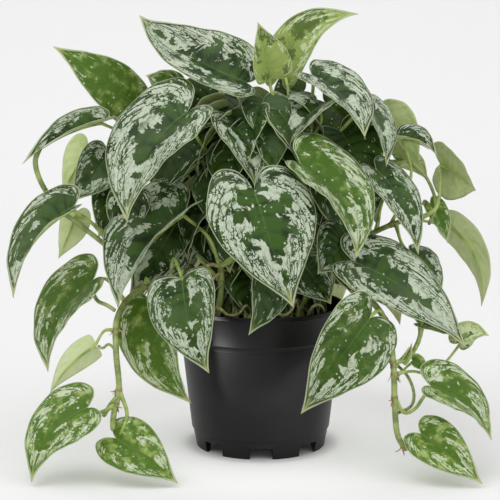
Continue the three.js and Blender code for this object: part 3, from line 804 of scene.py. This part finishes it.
# notch and tip place the blade; face turns its upper side: degrees round from the front, then up from level.
# joins names the stem that the stalk leaves and how far along it, or a point on the soil.
LEAVES = {
    "crown_left": dict(
        notch=[-13, -5, 338], tip=[-114, 55, 398], width=74, face=[0, 50], fold=25, sway=14, lobe=0.5,
        joins=["crown_left", 0.98], silver=0.68),
    "far_left_top": dict(
        notch=[-117, 30, 315], tip=[-190, 10, 370], width=54, face=[25, 25], fold=5,
        joins=["crown_left", 0.63], via=[[-85, 18, 288]], silver=0.15, fresh=0.35, slot="leaf_fresh"),
    "shoulder_left": dict(
        notch=[-66, -45, 314], tip=[-116, -95, 222], width=100, face=[-40, 30], sway=-13, fold=18,
        joins=["crown_left", 0.75], via=[[-58, -25, 290]], silver=0.68),
    "crown_folded": dict(
        notch=[8, -5, 343], tip=[-3, -10, 392], width=46, face=[20, 0], fold=35, cup=0, rise=2, lobe=0.4,
        joins=["crown_right", 0.95], via=[[12, -2, 325]], silver=0.3, fresh=0.85, slot="leaf_fresh"),
    "crown_right": dict(
        notch=[20, 32, 347], tip=[90, 18, 399], width=44, face=[0, 30], fold=10, sway=16,
        joins=["crown_right", 0.99], via=[[25, 21, 332]], silver=0.45, fresh=0.8, slot="leaf_fresh"),
    "shoulder_right": dict(
        notch=[48, 0, 344], tip=[92, -45, 291], width=72, face=[45, 35], sway=8, lobe=0.8,
        joins=["crown_right", 0.9], via=[[46, 6, 322]], silver=0.7),
    "crown_inner": dict(
        notch=[41, 40, 328], tip=[9, 36, 309], width=46, face=[0, 30], fold=10, cup=0,
        joins=["crown_right", 0.85], via=[[46, 32, 315]], silver=0.1),
    "inner_silver": dict(
        notch=[53, -10, 317], tip=[21, -34, 277], width=62, face=[-45, 30], fold=25, lobe=0.5,
        joins=["crown_right", 0.79], via=[[54, -2, 300]], silver=0.6),
    "middle_top": dict(
        notch=[-23, -15, 303], tip=[-5, -55, 247], width=68, face=[35, 15], joins=["crown_left", 0.85],
        via=[[-28, -8, 290]], silver=0.45),
    "front_heart": dict(
        notch=[-6, -95, 249], tip=[27, -125, 153], width=98, face=[20, 15], fold=10, cup=-14, sway=-3,
        lobe=1.5, joins=["stem_front", 0.96], via=[[-24, -52, 184], [-10, -70, 216]], silver=0.72),
    "front_right": dict(
        notch=[37, -55, 267], tip=[82, -95, 191], width=88, face=[50, 30], fold=23, sway=14,
        joins=["crown_right", 0.58], via=[[44, -25, 258]], fresh=0.3),
    "right_middle": dict(
        notch=[107, -10, 258], tip=[141, -46, 186], width=52, face=[40, 25], fold=10, sway=4,
        joins=["side_right", 0.65], via=[[101, 4, 235]]),
    "right_silver": dict(
        notch=[97, 10, 319], tip=[114, -15, 262], width=48, face=[55, 15], sway=2,
        joins=["crown_right", 0.69], via=[[72, 14, 290]], silver=0.75),
    "right_behind": dict(
        notch=[113, 50, 306], tip=[152, 40, 250], width=56, face=[150, 20], cup=0, sway=4,
        joins=["crown_right", 0.63], via=[[84, 26, 290]], slot="leaf_pale"),
    "right_looped": dict(
        notch=[172, 45, 258], tip=[196, -15, 240], width=58, face=[115, 10], fold=-5, cup=-20, rise=3,
        joins=["side_right", 0.99], via=[[163, 8, 222], [168, 20, 246]], slot="leaf_pale"),
    "far_right": dict(
        notch=[180, 50, 201], tip=[212, 40, 122], width=38, face=[140, 20], fold=8, sway=-11, lobe=0.6,
        joins=["side_right", 0.95], via=[[152, 34, 206]], fresh=0.3, slot="leaf_pale"),
    "right_sliver": dict(
        notch=[161, 34, 222], tip=[177, 28, 185], width=26, face=[30, 20], cup=0, rise=3,
        joins=["side_right", 0.88], via=[[147, 26, 222]], silver=0.3, fresh=0.4, slot="leaf_pale"),
    "low_right": dict(
        notch=[85, -60, 181], tip=[182, -75, 107], width=80, face=[30, 45], fold=13, sway=6, lobe=1.1,
        joins=["vine_right", 0.27], via=[[72, -46, 176]], silver=0.7),
    "low_right_small": dict(
        notch=[139, -15, 183], tip=[166, -25, 148], width=42, face=[60, 30], fold=10, cup=0,
        joins=["side_right", 0.83], via=[[130, -6, 190]]),
    "over_pot_right": dict(
        notch=[94, -98, 138], tip=[34, -118, 58], width=76, face=[20, -5], sway=-4, lobe=0.8,
        joins=["vine_right", 0.54], via=[[103, -90, 144]], fresh=0.2),
    "vine_right_side": dict(
        notch=[148, -108, 81], tip=[199, -118, 35], width=60, face=[45, 50], fold=20, sway=7,
        joins=["vine_right", 0.81], via=[[124, -104, 56], [134, -103, 59], [142, -104, 71]], silver=0.5,
        fresh=0.35, slot="leaf_fresh"),
    "vine_right_tip": dict(
        notch=[138, -118, 41], tip=[188, -145, 4], width=44, face=[0, 30], lobe=0.85,
        joins=["vine_right", 0.98], via=[[132, -116, 33]], silver=0.45, fresh=0.5, slot="leaf_fresh"),
    "vine_right_young": dict(
        notch=[178, -60, 109], tip=[203, -66, 116], width=28, face=[0, 40], fold=20, cup=0, rise=2, sway=5,
        joins=["vine_right", 0.73], via=[[132, -93, 90], [149, -84, 86], [165, -70, 94]], silver=0.9,
        fresh=0.8, slot="leaf_pale"),
    "vine_right_thin": dict(
        notch=[141, -66, 128], tip=[174, -68, 115], width=30, face=[0, 75], fold=10, cup=0, rise=2,
        joins=["vine_right", 0.69], via=[[130, -90, 101], [139, -76, 114]], silver=0.5, fresh=0.5,
        slot="leaf_fresh"),
    "over_pot_left": dict(
        notch=[-69, -90, 170], tip=[-45, -118, 94], width=68, face=[-20, 0], sway=-2, lobe=0.6,
        joins=["vine_left", 0.33], via=[[-77, -64, 185]], silver=0.6, fresh=0.1),
    "under_heart": dict(
        notch=[4, -62, 177], tip=[-11, -92, 122], width=56, face=[40, 0], fold=23, joins=[13, -30],
        via=[[12, -40, 155]], silver=0.4),
    "low_left": dict(
        notch=[-98, -46, 140], tip=[-62, -81, 58], width=72, face=[-30, 0], fold=21, sway=-8, lobe=0.8,
        joins=["vine_left", 0.43], via=[[-102, -44, 164]], silver=0.4, fresh=0.4, slot="leaf_fresh"),
    "inner_low": dict(
        notch=[38, -36, 176], tip=[63, -48, 141], width=50, face=[0, 25], fold=12, cup=-5, joins=[34, -32],
        via=[[40, -34, 146]], silver=0.5),
    "front_left": dict(
        notch=[-70, -35, 223], tip=[-125, -92, 146], width=100, face=[-50, 35], fold=32, sway=-10,
        joins=["stem_front", 0.88], via=[[-47, -38, 200]], silver=0.65),
    "left_silver": dict(
        notch=[-140, -5, 271], tip=[-172, -22, 230], width=44, face=[5, 0], lobe=0.8,
        joins=["side_left", 0.77], via=[[-120, 4, 230], [-132, 2, 257]], silver=0.6),
    "left_behind": dict(
        notch=[-161, 25, 277], tip=[-186, 20, 234], width=44, face=[150, 20], cup=0, rise=3,
        joins=["side_left", 0.7], via=[[-130, 28, 250]], fresh=0.1, slot="leaf_pale"),
    "far_left_arched": dict(
        notch=[-144, -5, 303], tip=[-213, -40, 267], width=36, face=[15, 70], fold=35, cup=0, rise=7,
        lobe=0.8, joins=["crown_left", 0.58], via=[[-92, 2, 275]], silver=0.6),
    "far_left": dict(
        notch=[-167, -60, 231], tip=[-216, -92, 155], width=54, face=[-45, 50], fold=20, cup=25, sway=-14,
        lobe=0.7, silver=0.5, fresh=0.1, joins=["side_left", 0.99], via=[[-151, -40, 213]]),
    "left_pale": dict(
        notch=[-168, -15, 220], tip=[-185, -20, 178], width=30, face=[160, 10], cup=0, rise=3,
        joins=["side_left", 0.94], via=[[-150, -12, 207]], fresh=0.3, slot="leaf_pale"),
    "left_low": dict(
        notch=[-152, -45, 163], tip=[-189, -78, 86], width=72, face=[-50, 30], fold=20, sway=-13, lobe=0.8,
        joins=["vine_left", 0.53], via=[[-138, -50, 164]], silver=0.38, fresh=0.3),
    "left_rolled": dict(
        notch=[-146, -85, 111], tip=[-185, -98, 71], width=26, face=[150, 30], cup=0, rise=3, sway=4,
        lobe=0.2, joins=["vine_left", 0.65], via=[[-138, -83, 124]], fresh=0.6, slot="leaf_pale"),
    "vine_left_big": dict(
        notch=[-151, -118, 64], tip=[-196, -143, 5], width=60, face=[-30, 35], fold=12, sway=-10, lobe=0.8,
        joins=["vine_left", 0.91], via=[[-140, -112, 58]], silver=0.5, fresh=0.4, slot="leaf_fresh"),
    "vine_left_tip": dict(
        notch=[-126, -118, 37], tip=[-71, -143, 4], width=50, face=[15, 25], joins=["vine_left", 0.86],
        via=[[-117, -108, 58], [-119, -115, 46]], silver=0.4, fresh=0.5, slot="leaf_fresh"),
}

# The far side carries three tiers of leaves round the back stem, from the lowest to the highest.
# first and step are degrees round the pot's axis; notch and tip are each a radius and a height.
BACK_TIERS = [
    dict(first=26, step=32, count=5, notch=(88, 170), tip=(144, 88), width=74),
    dict(first=34, step=36, count=4, notch=(72, 266), tip=(130, 180), width=67),
    dict(first=80, step=60, count=2, notch=(58, 318), tip=(104, 262), width=68),
]
BACK_YAW = 25  # degrees, so that neighbouring blades lap over each other like shingles


def around(radius, degrees, height):
    """A point at some radius and direction from the pot's axis."""
    return [radius * math.cos(math.radians(degrees)), radius * math.sin(math.radians(degrees)), height]


def back_leaves():
    """The rows of the far side's leaves, each a little off its tier's regular place."""
    rows = {}
    places = [(tier, tier["first"] + tier["step"] * k) for tier in BACK_TIERS for k in range(tier["count"])]
    for number, (tier, azimuth) in enumerate(places, 1):
        stray = (number - 1) * 7 % 5 - 2
        rows[f"back_{number}"] = dict(
            notch=around(tier["notch"][0], azimuth, tier["notch"][1] + 4 * stray),
            tip=around(tier["tip"][0], azimuth + 3 * stray, tier["tip"][1] - 7 * stray),
            width=tier["width"] - 3 * abs(stray), face=[azimuth + 90 + BACK_YAW, 35],
            fold=12, rise=9, sway=3 * stray,
            joins=["stem_back", 0.2 + 0.065 * number], silver=0.5 + 0.06 * stray, fresh=0.1,
        )
    return rows


# Leaves that the outer ones mostly hide. Each is a piece of its own, with no CAD node to stand for.
SHADED = {
    "shade_left_high": dict(
        notch=[-131, 0, 243], tip=[-149, -10, 196], width=44, face=[10, 10], joins=["side_left", 0.86],
        silver=0.3),
    "shade_left_low": dict(
        notch=[-116, -20, 238], tip=[-128, -22, 193], width=42, face=[-10, 20], joins=["side_left", 0.7],
        silver=0.35),
    "shade_left_back": dict(
        notch=[-80, 40, 325], tip=[-108, 45, 342], width=36, face=[0, 40], joins=["crown_left", 0.7],
        silver=0.3, fresh=0.3),
    "shade_front_left": dict(
        notch=[-79, -12, 207], tip=[-119, -38, 148], width=62, face=[15, 15], joins=["stem_front", 0.7],
        silver=0.5),
    "shade_front_right": dict(
        notch=[76, -40, 199], tip=[50, -58, 170], width=52, face=[10, 20], joins=[36, -24], silver=0.35),
    "shade_right_high": dict(
        notch=[60, 35, 318], tip=[108, 22, 268], width=62, face=[15, 25], joins=["crown_right", 0.7],
        silver=0.1, fresh=0.15),
    "shade_right_pale": dict(
        notch=[130, 58, 262], tip=[160, 50, 242], width=34, face=[20, 50], cup=0, joins=["side_right", 0.7],
        silver=0.7, fresh=0.8),
    "shade_crown": dict(
        notch=[-40, 25, 325], tip=[-75, 12, 285], width=62, face=[-20, 25], joins=["crown_left", 0.8],
        silver=0.1),
    "shade_left_mid": dict(
        notch=[-72, 8, 285], tip=[-97, -8, 232], width=60, face=[-20, 20], joins=["crown_left", 0.6],
        silver=0.2),
    "shade_left_gap": dict(
        notch=[-56, 18, 248], tip=[-84, 6, 196], width=56, face=[-10, 20], joins=[-20, 20], silver=0.1),
    "shade_right_mid": dict(
        notch=[72, -12, 250], tip=[84, -28, 190], width=72, face=[20, 20], joins=["side_right", 0.4],
        silver=0.15),
    "shade_right_gap": dict(
        notch=[74, 12, 292], tip=[104, 0, 232], width=66, face=[20, 30], joins=["crown_right", 0.65],
        silver=0.1),
    "shade_right_low": dict(
        notch=[80, -28, 186], tip=[92, -44, 138], width=56, face=[20, 10], joins=[36, -24], silver=0.2),
    "shade_middle_low": dict(
        notch=[-50, -2, 218], tip=[-43, -14, 166], width=58, face=[10, 10], joins=[-20, 20], silver=0.1),
    "young_rolled": dict(
        notch=[122, -92, 99], tip=[132, -90, 115], width=14, face=[40, 20], fold=60, cup=0, rise=1,
        lobe=0.2, joins=["vine_right", 0.72], silver=0.3, fresh=0.9),
    "young_green": dict(
        notch=[133, -91, 99], tip=[147, -88, 90], width=16, face=[20, 40], fold=20, cup=0, rise=1,
        joins=["vine_right", 0.75], silver=0.1, fresh=0.4),
    "right_curl": dict(
        notch=[131, 20, 285], tip=[164, 14, 269], width=34, face=[10, 65], fold=35, cup=0, rise=5,
        joins=["side_right", 0.8], via=[[140, 18, 250]], silver=0.6),
}

INNER_LEAVES = 84
INNER_DOME = dict(width=74, middle=200, height=140)  # what the inner leaves' notches fill, in mm
GOLDEN_TURN = 137.5  # degrees from one leaf to the next, which spreads them evenly


def scattered(k, step, low, high):
    """A whole number from low up to high that jumps about as k counts up."""
    return low + step * k % (high - low)


def inner_leaves():
    """The rows of the leaves deep inside, in a spiral round the pot's axis, on stalks out of the soil."""
    rows = {}
    for k in range(INNER_LEAVES):
        azimuth = GOLDEN_TURN * k
        height = scattered(k, 37, 155, 325)
        dome = math.sqrt(1 - ((height - INNER_DOME["middle"]) / INNER_DOME["height"]) ** 2)
        front = max(0.0, -math.sin(math.radians(azimuth)))
        share = 0.5 + 0.5 * scattered(k, 23, 0, 26) / 26
        radius = share * dome * INNER_DOME["width"] * (1 - 0.6 * front)
        foot = around(scattered(k, 9, 16, 50), azimuth + 20, 0)
        rows[f"inner_{k + 1}"] = dict(
            notch=around(radius, azimuth, height),
            tip=around(radius + 28 - 10 * front, azimuth + 9, height - 46),
            width=scattered(k, 11, 44, 59),
            face=[azimuth + scattered(k, 17, 80, 110), scattered(k, 7, 20, 45)],
            joins=foot[:2], silver=0.03 * (k % 8),
        )
    return rows


def vein_line(row, reach):
    """Which line along the side veins a place is on. It is the row at the midrib, and less further out."""
    return row - 0.1 * reach**3


class Leaf:
    """One leaf: its row's values, its own axes and its blade's surface."""

    def __init__(self, name, row, number):
        vars(self).update({**USUAL, **row})
        self.name = name
        self.seed = number
        self.notch, self.tip = np.array(self.notch, float), np.array(self.tip, float)
        self.chord = self.tip - self.notch
        self.length = np.linalg.norm(self.chord)
        self.stalk_radius = STALK_RADIUS * min(1.0, 0.4 + self.width / 80)
        turn, lift = np.radians(self.face)
        facing = np.array([math.sin(turn) * math.cos(lift), -math.cos(turn) * math.cos(lift), math.sin(lift)])
        along = self.chord / self.length
        self.up = unit(facing - along * (facing @ along))
        self.left = np.cross(self.up, along)
        self.phases = np.random.default_rng(number).uniform(0, 2 * math.pi, 2)

    def midrib(self, share):
        """The midrib's point, and the directions out of the blade and to its left, at shares of the chord."""
        share = np.asarray(share, float)[..., None]
        bow = self.up * self.rise + self.left * self.sway
        point = self.notch + self.chord * share + bow * 4 * share * (1 - share)
        tangent = unit(self.chord + bow * 4 * (1 - 2 * share))
        up = unit(self.up - tangent * (tangent @ self.up)[..., None])
        return point, up, np.cross(up, tangent)

    def relief(self, row, reach, out):
        """Height of the blade's quilting: the groove over the midrib, sunken side veins and a wavy margin."""
        groove = -GROOVE_DEPTH * np.exp(-((out / GROOVE_WIDTH) ** 2)) * (1 - row) ** 0.5
        swell = np.abs(np.sin(math.pi * SIDE_VEINS * vein_line(row, reach))) ** 0.7 - 0.6
        quilting = QUILTING * swell * clipped(reach * 4) * clipped((1 - reach) * 5)
        quilting = quilting * clipped(row * 5) * clipped((1 - row) * 4)
        wave = np.sin(7 * math.pi * row + self.phases[0]) + 0.6 * np.sin(15 * math.pi * row + self.phases[1])
        ends = clipped(row * 4) * clipped((1 - row) * 5)
        return groove + quilting + MARGIN_WAVE * self.width * wave * reach**3 * ends

    def bent(self, out):
        """How far across and how high the folded and cupped blade is, at a distance out, in half widths."""
        fold, cup = np.radians([self.fold, self.cup])
        if not cup:
            return out * math.cos(fold), out * math.sin(fold)
        turn = fold + cup * out
        return (np.sin(turn) - math.sin(fold)) / cup, (math.cos(fold) - np.cos(turn)) / cup

    def surface(self):
        """The upper skin's points, the direction out of the blade there, and what the materials need."""
        row = np.linspace(0, 1, BLADE_ROWS + 1)[:, None] * np.ones(2 * BLADE_COLUMNS + 1)
        column = np.linspace(-1, 1, 2 * BLADE_COLUMNS + 1)[None, :] * np.ones_like(row)
        reach = np.abs(column)
        edge = smooth_line([(*corner, 0) for corner in HALF_OUTLINE], row)
        edge_along = np.where(edge[..., 0] < 0, edge[..., 0] * self.lobe, edge[..., 0])
        start = row**VEIN_START_POWER
        along = start + (edge_along - start) * (reach * (1 - VEIN_SWEEP) + reach**2 * VEIN_SWEEP)
        out = edge[..., 1] * reach
        point, up, left = self.midrib(along)
        across, height = self.bent(out)
        half = self.width / 2
        raised = height * half + self.relief(row, reach, out * half)
        points = point + left * (np.sign(column) * across * half)[..., None] + up * raised[..., None]
        vein = np.stack([vein_line(row, reach), reach, (1 - reach) * edge[..., 1] * half], axis=-1)
        place = np.full_like(row, BLADE_SPACING * self.seed)
        flat = np.stack([along * self.length, out * half * np.sign(column), place], axis=-1)
        return points, up, vein, flat

    def under_midrib(self, shares):
        """The middle line of the ridge under the blade's midrib."""
        point, up, _ = self.midrib(shares)
        depth = GROOVE_DEPTH + BLADE_THICKNESS + self.rib_radius(shares)
        return point - up * depth[:, None]

    def rib_radius(self, share):
        """The radius of the ridge that the stalk makes under the blade."""
        return self.stalk_radius * np.interp(share, [0, 0.2, RIB_SHARE], [0.85, 0.65, 0.2])

    def stalk_line(self):
        """The stalk's middle line, from its foot to the notch and on under the midrib, and its radii."""
        place, second = self.joins
        foot = [stem_point(place, second)] if isinstance(place, str) else sprout(place, second)
        start = np.array(foot[-1], float)
        sag = self.up * -0.1 * np.linalg.norm(self.notch - start)
        middle = self.via or [(start + self.notch) / 2 + sag]
        stalk = even_line([*foot, *middle, *self.under_midrib(np.array([0.01]))], 2.5)
        along = lengths_along(stalk)
        radii = self.stalk_radius * np.interp(along, [0, along[-1]], [1.0, 0.85])
        radii += swelling(*STALK_FOOT_SWELLING, along)
        radii += swelling(*STALK_KNEE_SWELLING, along[-1] - along)
        shares = np.linspace(0.01, RIB_SHARE, 16)[1:]
        return np.vstack([stalk, self.under_midrib(shares)]), np.concatenate([radii, self.rib_radius(shares)])


def make_leaf(leaf, in_frame):
    """Builds one leaf as a thin closed blade and a tapering stalk."""
    shape = Shape("vein", "flat", "tone")
    points, up, vein, flat = leaf.surface()
    tone = np.broadcast_to((leaf.silver, leaf.fresh, BLADE_SPACING * leaf.seed), points.shape)
    sheet(shape, points, points - up * BLADE_THICKNESS, looks=(0, 1), vein=vein, flat=flat, tone=tone)
    line, radii = leaf.stalk_line()
    along = lengths_along(line)
    marks = np.stack([along, along * 0, np.full_like(along, STALK_SPACING * leaf.seed)], axis=-1)
    tube(shape, line, radii, look=2, sides=10, flat=marks)
    node = f"leaf_{leaf.name}"
    shape.build(f"{node}_fine", LEAF_LOOKS, replaces=node if in_frame else None, merge=0.005)


FRAME_LEAVES = {**LEAVES, **back_leaves()}
ALL_LEAVES = {**FRAME_LEAVES, **SHADED, **inner_leaves()}
for leaf_number, (leaf_name, leaf_row) in enumerate(ALL_LEAVES.items(), 1):
    make_leaf(Leaf(leaf_name, leaf_row, leaf_number), leaf_name in FRAME_LEAVES)

# ---- stems, husks and roots ----

FIRST_JOINT = 20.0
WIDEST_GAP = 55  # between two joints
JOINT_SPACING = 38  # where a gap would be wider than that
CLOSEST_JOINTS = 9
RING = (0.55, 1.8)  # how high and how long the ring at a joint is


def stem_joints(name):
    """Where a stem's joints are, from its start: at its leaves, and more where those are far apart."""
    length = lengths_along(stem_line(name))[-1]
    joints = [FIRST_JOINT]
    for share in sorted(row["joins"][1] for row in ALL_LEAVES.values() if row["joins"][0] == name):
        place = share * length
        while place - joints[-1] > WIDEST_GAP:
            joints.append(joints[-1] + JOINT_SPACING)
        if place - joints[-1] > CLOSEST_JOINTS:
            joints.append(place)
    return np.array(joints), length


def make_stem(name, number):
    """A tapering stem with a swollen ring at each joint."""
    joints, _ = stem_joints(name)
    line = even_line(STEMS[name]["path"], 1.6)
    along = lengths_along(line)
    from_joint = np.min(np.abs(along[:, None] - joints[None, :]), axis=1)
    taper = np.interp(along, [0, along[-1]], [1.06, 0.92])
    radii = STEMS[name]["radius"] * taper + swelling(*RING, from_joint)
    radii[-3:] *= (0.95, 0.8, 0.45)
    marks = np.stack([along, from_joint, np.full_like(along, STEM_SPACING * number)], axis=-1)
    shape = Shape("flat")
    tube(shape, line, radii, sides=16, flat=marks)
    shape.build(f"{name}_fine", [STEM_LOOK], replaces=name)


def husk(shape, foot, along, outward, length, width):
    """Adds one papery scrap that stands off a stem and curls away to a point."""
    side = np.cross(along, outward)
    rows, columns = np.meshgrid(np.linspace(0, 1, 7), np.linspace(-1, 1, 5), indexing="ij")
    half = 0.5 * width * (1 - rows) ** 0.6
    rise = length * (rows * 0.9)
    lean = length * 0.45 * rows**1.6 - 0.5 * half * columns**2
    grid = foot + rise[..., None] * along + lean[..., None] * outward + (half * columns)[..., None] * side
    sheet(shape, grid, grid - 0.25 * outward)


def root(shape, points, radius):
    """Adds one root that tapers to its end."""
    line = even_line(points, 1.5)
    tube(shape, line, radius * np.linspace(1, 0.35, len(line)), look=1, sides=8)


def square_to(along, rng):
    """A random direction at a right angle to another."""
    aside = rng.normal(size=3)
    return unit(aside - along * (aside @ along))


def make_scraps(name, number):
    """The dry husks and short roots at a stem's joints."""
    rng = np.random.default_rng(40 + number)
    joints, length = stem_joints(name)
    radius = STEMS[name]["radius"]
    shape = Shape()
    for share in joints / length:
        foot = stem_point(name, share)
        along = unit(stem_point(name, min(1, share + 0.01)) - stem_point(name, share - 0.01))
        for _ in range(rng.integers(1, 4)):
            outward = square_to(along, rng)
            start = foot + outward * (radius + 0.2)
            husk(shape, start, along, outward, length=rng.uniform(4, 9), width=rng.uniform(2.5, 4))
        if rng.uniform() < 0.7:
            outward = square_to(along, rng)
            start = foot + outward * (radius - 0.5)
            reach = rng.uniform(4, 10)
            bend = start + outward * reach + np.array([0, 0, -0.3 * reach])
            root(shape, [start, (start + bend) / 2 + along, bend], 0.9)
    shape.build(f"{name}_scraps", [HUSK_LOOK, ROOT_LOOK])


# Roots that show at the pot's near side: loops on the soil, and two that leave the front stem.
SURFACE_ROOTS = [
    [[-42, -46, 122], [-40, -55, 138], [-36, -61, 139], [-31, -63, 135], [-25, -64, 134], [-19, -63, 136],
     [-13, -58, 142], [-8, -48, 133], [-6, -42, 122]],
    [[4, -52, 122], [8, -60, 133], [14, -62, 135], [21, -62, 134], [27, -60, 138], [31, -55, 146],
     [33, -48, 140], [34, -44, 122]],
    [[-39, -47, 176], [-47, -48, 177], [-52, -49, 170], [-48, -50, 160]],
    [[-38, -46, 168], [-44, -50, 163], [-45, -52, 152]],
    [[-60, -34, 122], [-53, -48, 138], [-46, -54, 140], [-40, -54, 132], [-36, -52, 122]],
    [[40, -36, 122], [46, -48, 138], [53, -46, 140], [58, -40, 132], [60, -34, 122]],
]

# Side shoots that carry no leaf of their own, long and short.
SIDE_SHOOTS = {
    "shoot_far_left": dict(radius=2.4, path=[
        [-135, -22, 186], [-160, -18, 205], [-184, -26, 226], [-194, -36, 244], [-200, -37, 258],
        [-202, -34, 270], [-198, -32, 281]]),
    "shoot_left_high": dict(radius=1.8, path=[
        [-129, -76, 141], [-137, -71, 145], [-145, -60, 146], [-150, -46, 149], [-153, -36, 156]]),
    "shoot_left_mid": dict(radius=1.2, path=[
        [-127, -92, 108], [-133, -92, 114], [-139, -90, 110], [-143, -88, 112]]),
    "shoot_left_low": dict(radius=2.0, path=[[-126, -105, 70], [-132, -104, 62], [-138, -102, 52]]),
    "shoot_right_high": dict(radius=2.1, path=[
        [109, -90, 100], [121, -86, 97], [134, -80, 105], [141, -76, 121], [143, -70, 142]]),
    "shoot_right_twin": dict(radius=1.4, path=[
        [118, -88, 96], [129, -90, 84], [134, -92, 70], [131, -98, 60], [119, -103, 55]]),
    "shoot_front": dict(radius=1.7, path=[[-36, -42, 174], [-31, -46, 180], [-24, -47, 185]]),
    "shoot_right": dict(radius=1.6, path=[
        [79, 15, 180], [108, 24, 225], [132, 24, 262], [148, 23, 256], [159, 20, 240], [163, 14, 222],
        [156, 6, 206]]),
}


def make_roots():
    """The surface roots, in one piece."""
    shape = Shape()
    for points in SURFACE_ROOTS:
        root(shape, points, 2.0)
    shape.build("surface_roots", [HUSK_LOOK, ROOT_LOOK])


def make_shoot(name, radius, path):
    """A side shoot that ends in a withered cut."""
    line = even_line(path, 1.6)
    along = lengths_along(line)
    from_end = along[-1] - along
    radii = radius * np.interp(from_end, [0, 1.5, 4], [0.75, 1.05, 1.0])
    marks = np.stack([along, from_end, np.full_like(along, radius)], axis=-1)
    shape = Shape("flat")
    tube(shape, line, radii, sides=14, flat=marks)
    shape.build(name, [STEM_LOOK])


for stem_number, stem_name in enumerate(STEMS):
    make_stem(stem_name, stem_number + 1)
for stem_number, stem_name in enumerate(STEMS):
    make_scraps(stem_name, stem_number)
make_roots()
for shoot_name, shoot in SIDE_SHOOTS.items():
    make_shoot(shoot_name, **shoot)

# ---- studio, in metres ----


def make_floor():
    """Pale paper that runs along the floor and curves up behind the plant."""
    near, far, height, bend, half_width = -9.0, 2.6, 3.0, 1.0, 9.0
    steps = 12
    profile = [(near, 0.0), (far - bend, 0.0)]
    for k in range(1, steps + 1):
        turn = math.radians(90 * k / steps)
        profile.append((far - bend + bend * math.sin(turn), bend - bend * math.cos(turn)))
    profile.append((far, height))
    points = [(x, y, z) for y, z in profile for x in (-half_width, half_width)]
    faces = [(2 * k, 2 * k + 1, 2 * k + 3, 2 * k + 2) for k in range(len(profile) - 1)]
    mesh = bpy.data.meshes.new("studio_floor")
    mesh.from_pydata(points, [], faces)
    mesh.polygons.foreach_set("use_smooth", [True] * len(mesh.polygons))
    mesh.materials.append(studio_floor())
    floor = new_object("studio_floor", mesh)


def soft_light(name, place, target, size, power, shines=True, only=None):
    """A lamp of some width and height that faces a target. It can go unreflected, or reach one piece only."""
    data = bpy.data.lights.new(name, "AREA")
    data.shape = "RECTANGLE"
    data.size, data.size_y = size
    data.energy = power
    lamp = new_object(name, data)
    lamp.location = place
    lamp.rotation_euler = (Vector(target) - Vector(place)).to_track_quat("-Z", "Y").to_euler()
    lamp.visible_glossy = shines
    lamp.visible_camera = False
    if only:
        reached = bpy.data.collections.new(f"{name}_reach")
        reached.objects.link(only)
        lamp.light_linking.receiver_collection = reached


def make_world():
    """Soft white light all round, strongest from above and weakest from the front."""
    world = bpy.data.worlds.new("studio")
    world.use_nodes = True
    tree = Nodes(world.node_tree)
    _, y, z = tree.parts(tree.add("ShaderNodeTexCoord").outputs["Generated"])
    background = tree.nodes["Background"]
    tree.feed(background.inputs["Color"], (*WHITE, 1.0))
    level = tree.ramp(y, -0.9, 0.2, 0.50, 0.62)
    tree.feed(background.inputs["Strength"], tree.ramp(z, 0.05, 0.8, level, 1.0))
    bpy.context.scene.world = world


def make_camera():
    """A long lens a little above the plant's top, looking slightly down."""
    place = (-0.0099, -1.4, 0.401)
    pitch = math.radians(8.85)
    focal_pixels, frame_pixels = 1530, 500
    data = bpy.data.cameras.new("camera")
    data.sensor_width = 36
    data.lens = focal_pixels / frame_pixels * data.sensor_width
    camera = new_object("camera", data)
    camera.location = place
    camera.rotation_euler = (math.pi / 2 - pitch, 0, 0)
    bpy.context.scene.camera = camera


PLANT_MIDDLE = (0, 0, 0.2)
POT_MIDDLE = (0, 0, 0.08)

make_floor()
soft_light("key", (-0.7, -0.9, 2.0), PLANT_MIDDLE, (1.6, 1.6), 13)
soft_light("fill", (1.3, -0.9, 1.0), PLANT_MIDDLE, (1.0, 1.0), 3.5)
soft_light("top", (0, 0.2, 2.0), PLANT_MIDDLE, (1.6, 1.6), 2)
soft_light("low", (0, -1.7, 0.4), (0, 0, 0.05), (1.8, 0.5), 2, shines=False)
soft_light("strip_left", (-0.60, -0.42, 0.13), POT_MIDDLE, (0.12, 0.24), 9, only=POT)
soft_light("strip_right", (0.55, -0.50, 0.13), POT_MIDDLE, (0.12, 0.24), 9, only=POT)
make_world()
make_camera()
bpy.context.scene.view_settings.view_transform = "Standard"
